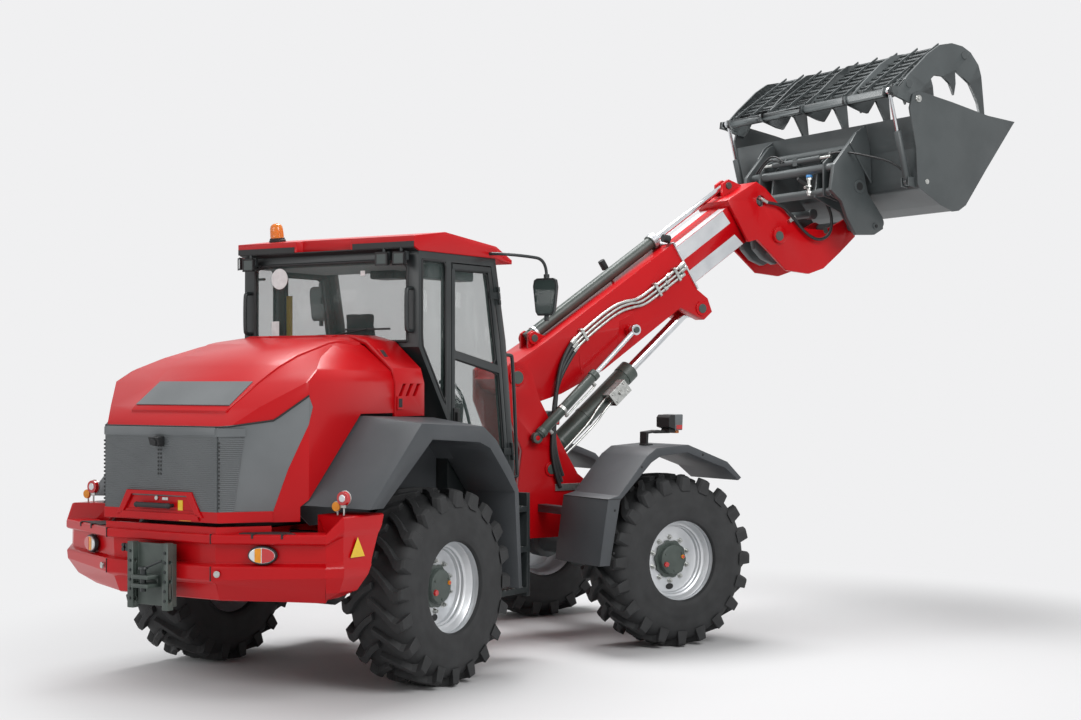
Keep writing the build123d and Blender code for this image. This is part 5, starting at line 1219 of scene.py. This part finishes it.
def add_mirrors():
    """Mirrors: rounded housings with tinted glasses and knuckles, on bent tubes."""
    housing, glass = bmesh.new(), bmesh.new()
    half = [(0.062, -0.100), (0.082, -0.070), (0.104, 0.120), (0.096, 0.165), (0.070, 0.180)]
    shape = [(-0.062, -0.100)] + half + [(-y, z) for y, z in half[:0:-1]]
    for hand in (-1, 1):
        for form, steps in (
            (housing, ((-0.186, 1.0), (-0.160, 1.0), (-0.140, 0.90), (-0.131, 0.62))),
            (glass, ((-0.1875, 0.88), (-0.1855, 0.88))),
        ):
            sections = []
            for x, scale in steps:
                sections.append([(x, hand * 1.080 + y * scale, 2.640 + 0.04 + (z - 0.04) * scale) for y, z in shape])
            add_loft(form, sections)
        add_rod(housing, (-0.158, hand * 1.080, 2.800), (-0.158, hand * 1.080, 2.850), 0.022)
        add_rod(housing, (-0.158, hand * 1.080, 2.545), (-0.158, hand * 1.080, 2.500), 0.018)
    placed(
        housing, "mirror_housings", REAR, "rear", COAT, ("mirrors",), rounding=0.003, sharp=radians(40)
    )
    placed(glass, "mirror_glasses", REAR, "rear", TINTED)
    arms = [
        [
            (-0.520, hand * 0.8103, 2.990),
            (-0.520, hand * 0.880, 2.990),
            (-0.340, hand * 1.010, 2.978),
            (-0.158, hand * 1.080, 2.960),
            (-0.158, hand * 1.080, 2.830),
        ]
        for hand in (-1, 1)
    ]
    tube("mirror_arms", arms, 0.012, REAR, "rear", COAT)


FRONT_RAIL = ((-0.273, 2.250), (-0.180, 2.250), (-0.145, 2.235), (-0.083, 1.350), (-0.085, 1.325), (-0.168, 1.325))
REAR_RAIL = ((-1.386, 2.700), (-1.435, 2.700), (-1.450, 2.680), (-1.450, 2.420), (-1.435, 2.400), (-1.386, 2.400))


def add_rails():
    """Bent grab rails at the cab's rear corners and beside its front pillars."""
    routes = []
    for hand in (-1, 1):
        for y, side in ((0.770, FRONT_RAIL), (0.740, REAR_RAIL)):
            routes.append([(x, hand * y, z) for x, z in side])
    rails = tube("grab_rail_tubes", routes, 0.014, REAR, "rear", COAT)
    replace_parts(rails, "grab_rails")


CUSHION_VOXEL = 0.010
CUSHION_PRESSURE = 4
CLOTH_FRAMES = 20


def evaluated(piece):
    """A copy of a piece's mesh as its modifiers leave it."""
    return bpy.data.meshes.new_from_object(piece.evaluated_get(bpy.context.evaluated_depsgraph_get()))


def swollen(name, form, place, cap):
    """A cushion of seat fabric: its form is filled out by cloth pressure, no point moving further than the cap."""
    bmesh.ops.recalc_face_normals(form, faces=form.faces[:])
    mesh = mesh_of(name, form)
    mesh.transform(place)
    pad = linked(name, mesh)
    voxels = pad.modifiers.new("voxels", "REMESH")
    voxels.mode = "VOXEL"
    voxels.voxel_size = CUSHION_VOXEL
    bpy.context.view_layer.update()
    pad.data = evaluated(pad)
    pad.modifiers.clear()
    before = [vert.co.copy() for vert in pad.data.vertices]
    cloth = pad.modifiers.new("cloth", "CLOTH")
    cloth.settings.use_pressure = True
    cloth.settings.uniform_pressure_force = CUSHION_PRESSURE
    cloth.settings.effector_weights.gravity = 0
    for step in range(1, CLOTH_FRAMES + 1):
        bpy.context.scene.frame_set(step)
    filled = evaluated(pad)
    pad.modifiers.clear()
    bpy.context.scene.frame_set(1)
    for vert, start in zip(filled.vertices, before):
        move = vert.co - start
        if move.length > cap:
            vert.co = start + move * (cap / move.length)
    pad.data = filled
    smooth = pad.modifiers.new("round", "SUBSURF")
    smooth.levels = smooth.render_levels = 1
    pad.data.materials.clear()
    pad.data.materials.append(CLOTH)
    pad.data.shade_smooth()
    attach(pad, "rear")
    return pad


def add_seat():
    """The driver's seat: a swollen cushion, back and head rest, on a bellows base between arm rests."""
    cushion = bmesh.new()
    add_plate(
        cushion, [(-0.960, 1.655), (-0.530, 1.655), (-0.510, 1.735), (-0.560, 1.750), (-0.940, 1.750)], -0.240, 0.240
    )
    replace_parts(swollen("seat_cushion", cushion, REAR, 0.012), "driver_seat")
    back = bmesh.new()
    add_plate(
        back, [(-0.955, 1.775), (-0.865, 1.775), (-0.935, 2.160), (-0.972, 2.335), (-1.045, 2.335)], -0.225, 0.225
    )
    swollen("seat_back", back, REAR, 0.012)
    rest = bmesh.new()
    add_plate(rest, [(-1.050, 2.370), (-0.975, 2.370), (-0.995, 2.545), (-1.052, 2.545)], -0.115, 0.115)
    swollen("seat_head_rest", rest, REAR, 0.010)
    base = bmesh.new()
    for step in range(6):
        low = 1.300 + 0.055 * step
        inset = 0.012 * (step % 2)
        add_block(base, (-0.930 + inset, -0.165 + inset, low), (-0.610 - inset, 0.165 - inset, low + 0.054))
    add_block(base, (-0.955, -0.180, 1.275), (-0.585, 0.180, 1.302))
    add_block(base, (-0.940, -0.200, 1.628), (-0.560, 0.200, 1.652))
    for hand in (-1, 1):
        low_y, high_y = span(hand, 0.235, 0.255)
        add_plate(
            base, [(-0.985, 1.900), (-0.930, 1.900), (-0.640, 1.930), (-0.620, 1.965), (-0.960, 1.960)], low_y, high_y
        )
    placed(base, "seat_base", REAR, "rear", BLACK, rounding=0.006)


def add_controls():
    """Steering wheel with spokes on its column, the side console with its levers, pedals and instrument pod."""
    console = bmesh.new()
    side = [(-0.900, 1.275), (-0.500, 1.275), (-0.425, 1.890), (-0.600, 1.990), (-0.900, 1.940)]
    add_plate(console, side, -0.520, -0.340)
    add_plate(console, [(-0.360, 1.275), (-0.262, 1.275), (-0.345, 1.890), (-0.425, 1.880)], -0.085, 0.085)
    add_plate(
        console, [(-0.300, 1.860), (-0.380, 1.960), (-0.360, 2.030), (-0.285, 2.000), (-0.262, 1.900)], -0.150, 0.150
    )
    for y in (-0.120, 0.130):
        add_plate(console, [(-0.330, 1.300), (-0.300, 1.300), (-0.360, 1.400), (-0.385, 1.390)], y - 0.040, y + 0.040)
    placed(console, "cab_console", REAR, "rear", BLACK, ("cab_controls",), rounding=0.008)
    tilt = Matrix.Rotation(radians(-37), 4, "Y") @ Matrix.Rotation(pi / 2, 4, "X")
    place = REAR @ Matrix.Translation((-0.415, 0, 1.905)) @ tilt
    wheel = bmesh.new()
    ring = [(0.0135 * sin(2 * pi * step / 12), 0.158 + 0.0135 * cos(2 * pi * step / 12)) for step in range(12)]
    add_turned(wheel, ring + ring[:1], 48)
    for count in range(3):
        around = 2 * pi * count / 3 + pi / 2
        add_rod(
            wheel,
            (0.030 * cos(around), -0.006, 0.030 * sin(around)),
            (0.152 * cos(around), 0, 0.152 * sin(around)),
            0.009,
            sides=12,
        )
    add_rod(wheel, (0, -0.030, 0), (0, 0.012, 0), 0.036)
    placed(wheel, "steering_wheel", place, "rear", BLACK, rounding=0.002)
    levers = bmesh.new()
    for x, y, lean in ((-0.560, -0.430, 0.03), (-0.640, -0.400, 0.0), (-0.640, -0.460, 0.0), (-0.470, -0.410, 0.05)):
        add_rod(levers, (x, y, 1.930), (x + lean, y, 2.040), 0.006, sides=12)
        bmesh.ops.create_uvsphere(
            levers, u_segments=16, v_segments=10, radius=0.018, matrix=Matrix.Translation((x + lean, y, 2.045))
        )
    placed(levers, "console_levers", REAR, "rear", BLACK)


add_cab_trim()
add_work_lamps()
add_beacon()
add_mirrors()
add_rails()
add_seat()
add_controls()


# Front lamps, fender seams, steps, articulation, tower and hitch


def add_front_lamps():
    """Front lamps on bent brackets: grey housings, black shells, clear lenses, red reflectors, amber indicators."""
    shells, housings, glass, red, amber = (bmesh.new() for _ in range(5))
    for hand in (-1, 1):
        y = hand * 0.900
        add_block(shells, (1.305, y - 0.045, 1.548), (1.375, y + 0.045, 1.560))
        add_plate(
            shells,
            [(1.310, 1.556), (1.330, 1.556), (1.335, 1.640), (1.430, 1.650), (1.430, 1.668), (1.312, 1.655)],
            y - 0.045,
            y + 0.045,
        )
        add_plate(shells, [(1.420, 1.640), (1.560, 1.640), (1.560, 1.656), (1.440, 1.668)], y - 0.020, y + 0.020)
        low_y, high_y = y - 0.086, y + 0.086
        add_plate(
            shells, [(1.502, 1.690), (1.560, 1.672), (1.560, 1.786), (1.520, 1.786), (1.502, 1.765)], low_y, high_y
        )
        add_plate(
            shells, [(1.520, 1.645), (1.585, 1.645), (1.585, 1.676), (1.530, 1.684)], low_y + 0.03, high_y - 0.03
        )
        add_plate(
            housings, [(1.558, 1.668), (1.632, 1.664), (1.638, 1.790), (1.558, 1.788)], low_y - 0.003, high_y + 0.003
        )
        add_block(glass, (1.634, y - 0.076, 1.676), (1.639, y + 0.076, 1.780))
        for side in (-1, 1):
            low, high = sorted((y + side * 0.088, y + side * 0.0905))
            add_block(red, (1.570, low, 1.672), (1.628, high, 1.706))
        add_block(amber, (1.590, y - 0.050, 1.640), (1.625, y + 0.050, 1.664))
    placed(shells, "front_lamp_shells", FRONT, "front", BLACK, ("headlamps",), rounding=0.004)
    placed(housings, "front_lamp_housings", FRONT, "front", LIP, rounding=0.008)
    placed(glass, "front_lamp_glasses", FRONT, "front", CLEAR, rounding=0.002)
    placed(red, "front_lamp_reflectors", FRONT, "front", RED_LENS, rounding=0.001)
    placed(amber, "front_indicators", FRONT, "front", AMBER, rounding=0.004)


def add_fender_seams():
    """Seams where the fenders' two mouldings meet, and their fixing screws."""
    seams, screws = bmesh.new(), bmesh.new()
    for hand in (-1, 1):
        low_y, high_y = span(hand, 1.2395, 1.2415)
        inner_y, outer_y = span(hand, 0.62, 1.2415)
        add_block(seams, (0.7475, inner_y, 1.1615), (0.7495, outer_y, 1.1665))
        add_plate(seams, [(0.749, 1.1615), (0.872, 1.1615), (0.872, 1.1665), (0.749, 1.1665)], low_y, high_y)
        for x, z in ((0.800, 0.760), (0.812, 1.080), (1.060, 1.400), (1.640, 1.480)):
            add_rod(screws, (x, hand * 1.2395, z), (x, hand * 1.245, z), 0.010, 0.007)
    placed(seams, "fender_seams", FRONT, "front", BLACK)
    placed(screws, "fender_screws", FRONT, "front", BLACK, rounding=0.001)


def add_steps():
    """Grip strips on the steps."""
    grips = bmesh.new()
    for hand in (-1, 1):
        for z in (0.520, 0.820, 1.120):
            for count in range(9):
                x = -0.700 + 0.058 * count
                low_y, high_y = span(hand, 0.865, 0.950)
                add_block(grips, (x, low_y, z - 0.001), (x + 0.020, high_y, z + 0.004))
    placed(grips, "step_grips", REAR, "rear", ZINC, rounding=0.001)


def add_articulation():
    """The ribbed air intake under the cab, and the hoses that cross to the front frame."""
    intake = bmesh.new()
    for count in range(8):
        add_rod(
            intake,
            (-0.165 + 0.022 * count, -0.560, 1.180 - 0.006 * count),
            (-0.150 + 0.022 * count, -0.560, 1.176 - 0.006 * count),
            0.052,
        )
    add_rod(intake, (-0.200, -0.560, 1.190), (0.020, -0.560, 1.130), 0.045)
    placed(intake, "cab_air_intake", REAR, "rear", BLACK, rounding=0.002)
    routes = []
    for count in range(4):
        y = -0.330 - 0.045 * count
        z = 1.000 + 0.040 * count
        route = [
            (-0.420, y, z),
            (-0.250, y, z),
            (-0.050, y - 0.03, z - 0.120),
            (0.180, y - 0.05, z - 0.100),
            (0.380, y + 0.02, z),
            (0.470, y + 0.04, z),
        ]
        routes.append(route)
    hoses("steering_hoses", routes, 0.014, REAR, ("rear", "front"))


def add_tower():
    """The plate on the tower's right face, and the bosses and heads of its pins."""
    tower = bmesh.new()
    add_block(tower, (0.905, -0.264, 1.170), (1.165, -0.250, 1.226))
    for x in (0.935, 1.135):
        add_rod(tower, (x, -0.262, 1.198), (x, -0.272, 1.198), 0.012, sides=6)
    placed(tower, "tower_plate", FRONT, "front", ZINC, rounding=0.002)
    bores = bmesh.new()
    rings = bmesh.new()
    for hand in (-1, 1):
        for x, z, radius in ((0.869, 1.345, 0.040), (0.550, 2.080, 0.052)):
            add_rod(rings, (x, hand * 0.248, z), (x, hand * 0.262, z), radius + 0.022, radius + 0.018)
            add_rod(bores, (x, hand * 0.258, z), (x, hand * 0.267, z), radius)
    placed(rings, "tower_bosses", FRONT, "front", RED, rounding=0.003)
    placed(bores, "tower_pins", FRONT, "front", HUB, rounding=0.003)


def add_hitch():
    """The hitch's pin with its lever, the rails' bolts and the couplings beside the plate."""
    parts = bmesh.new()
    add_rod(parts, (-3.205, 0, 0.735), (-3.205, 0, 0.885), 0.0185)
    add_rod(parts, (-3.205, 0, 0.875), (-3.205, 0, 0.890), 0.032, 0.028)
    add_rod(parts, (-3.205, 0, 0.878), (-3.165, -0.120, 0.930), 0.007, sides=12)
    for y in (-0.150, 0.150):
        for z in (0.680, 0.740, 0.800, 0.860, 0.920, 0.980):
            add_rod(parts, (-3.168, y, z), (-3.178, y, z), 0.010, sides=6)
    for z in (0.980, 1.005):
        for y in (0.20, 0.235, 0.27):
            add_rod(parts, (-3.095, y, z), (-3.120, y, z), 0.014, sides=6)
    placed(parts, "hitch_pin_and_bolts", REAR, "rear", COAT, rounding=0.0015)


add_front_lamps()
add_fender_seams()
add_steps()
add_articulation()
add_tower()
add_hitch()


# Camera at the photograph's place

LENS = 56.27
CAMERA_PLACE = (-10.863, -7.742, 2.059)
CAMERA_YAW = 32.10  # degrees
CAMERA_TILT = 0.683  # degrees


def add_camera():
    """The camera, 13 m from the pivot off the tail's right corner, just above head height."""
    data = bpy.data.cameras.new("camera")
    data.lens = LENS
    data.sensor_width = 36
    data.sensor_fit = "HORIZONTAL"
    data.clip_end = 200
    camera = linked("camera", data)
    turn = Matrix.Rotation(radians(CAMERA_YAW - 90), 4, "Z") @ Matrix.Rotation(radians(90 + CAMERA_TILT), 4, "X")
    camera.matrix_world = REAR @ Matrix.Translation(CAMERA_PLACE) @ turn
    bpy.context.scene.camera = camera


BACKDROP = "#F0F0F1"
FADE_START, FADE_END = 3.0, 5.6
SKY_STRENGTH = 0.3


def add_floor():
    """A pale floor that takes the machine's shadow and fades into the plain backdrop."""
    form = bmesh.new()
    bmesh.ops.create_grid(form, x_segments=1, y_segments=1, size=80)
    mesh = mesh_of("floor", form)
    floor = linked("floor", mesh)
    made, tree, shader = material("pale_floor", Roughness=0.9)
    shader.inputs["Base Color"].default_value = linear("#D8D8D9")
    plain = node(tree, "Emission", {"Color": linear(BACKDROP), "Strength": 1})
    place = node(tree, "TexCoord")
    reach = node(tree, "VectorMath", {0: place.outputs["Object"]}, operation="LENGTH")
    fade = node(tree, "MapRange", {"Value": reach.outputs["Value"], "From Min": FADE_START, "From Max": FADE_END})
    fade.interpolation_type = "SMOOTHSTEP"
    seen = node(
        tree, "MixShader", {0: fade.outputs["Result"], 1: shader.outputs["BSDF"], 2: plain.outputs["Emission"]}
    )
    tree.links.new(seen.outputs["Shader"], tree.nodes["Material Output"].inputs["Surface"])
    mesh.materials.append(made)


def add_light():
    """Soft studio light: three large lamps, and an even sky that camera, gloss and glass see as the backdrop."""
    world = bpy.data.worlds.new("studio")
    bpy.context.scene.world = world
    world.use_nodes = True
    tree = world.node_tree
    sky = tree.nodes["Background"]
    sky.inputs["Color"].default_value = linear("#F1F1F1")
    sky.inputs["Strength"].default_value = SKY_STRENGTH
    plain = node(tree, "Background", {"Color": linear(BACKDROP), "Strength": 1})
    path = node(tree, "LightPath")
    first = node(
        tree, "Math", {0: path.outputs["Is Camera Ray"], 1: path.outputs["Is Glossy Ray"]}, operation="MAXIMUM"
    )
    seen = node(
        tree, "Math", {0: first.outputs["Value"], 1: path.outputs["Is Transmission Ray"]}, operation="MAXIMUM"
    )
    mixed = node(
        tree, "MixShader", {0: seen.outputs["Value"], 1: sky.outputs["Background"], 2: plain.outputs["Background"]}
    )
    tree.links.new(mixed.outputs["Shader"], tree.nodes["World Output"].inputs["Surface"])
    for name, place, aim, size, power in (
        ("key", (-5, -9, 8), (0, 0, 1.5), 6, 760),
        ("fill", (-12, 4, 6), (-1, 0, 1.5), 6, 260),
        ("top", (1, 2, 10), (0.5, 0, 0), 5, 950),
    ):
        data = bpy.data.lights.new(name, "AREA")
        data.size = size
        data.energy = power
        lamp = linked(name, data)
        way = Vector(aim) - Vector(place)
        lamp.matrix_world = Matrix.Translation(place) @ way.to_track_quat("-Z", "Y").to_matrix().to_4x4()


add_camera()
add_floor()
add_light()
bpy.context.scene.view_settings.view_transform = "Standard"
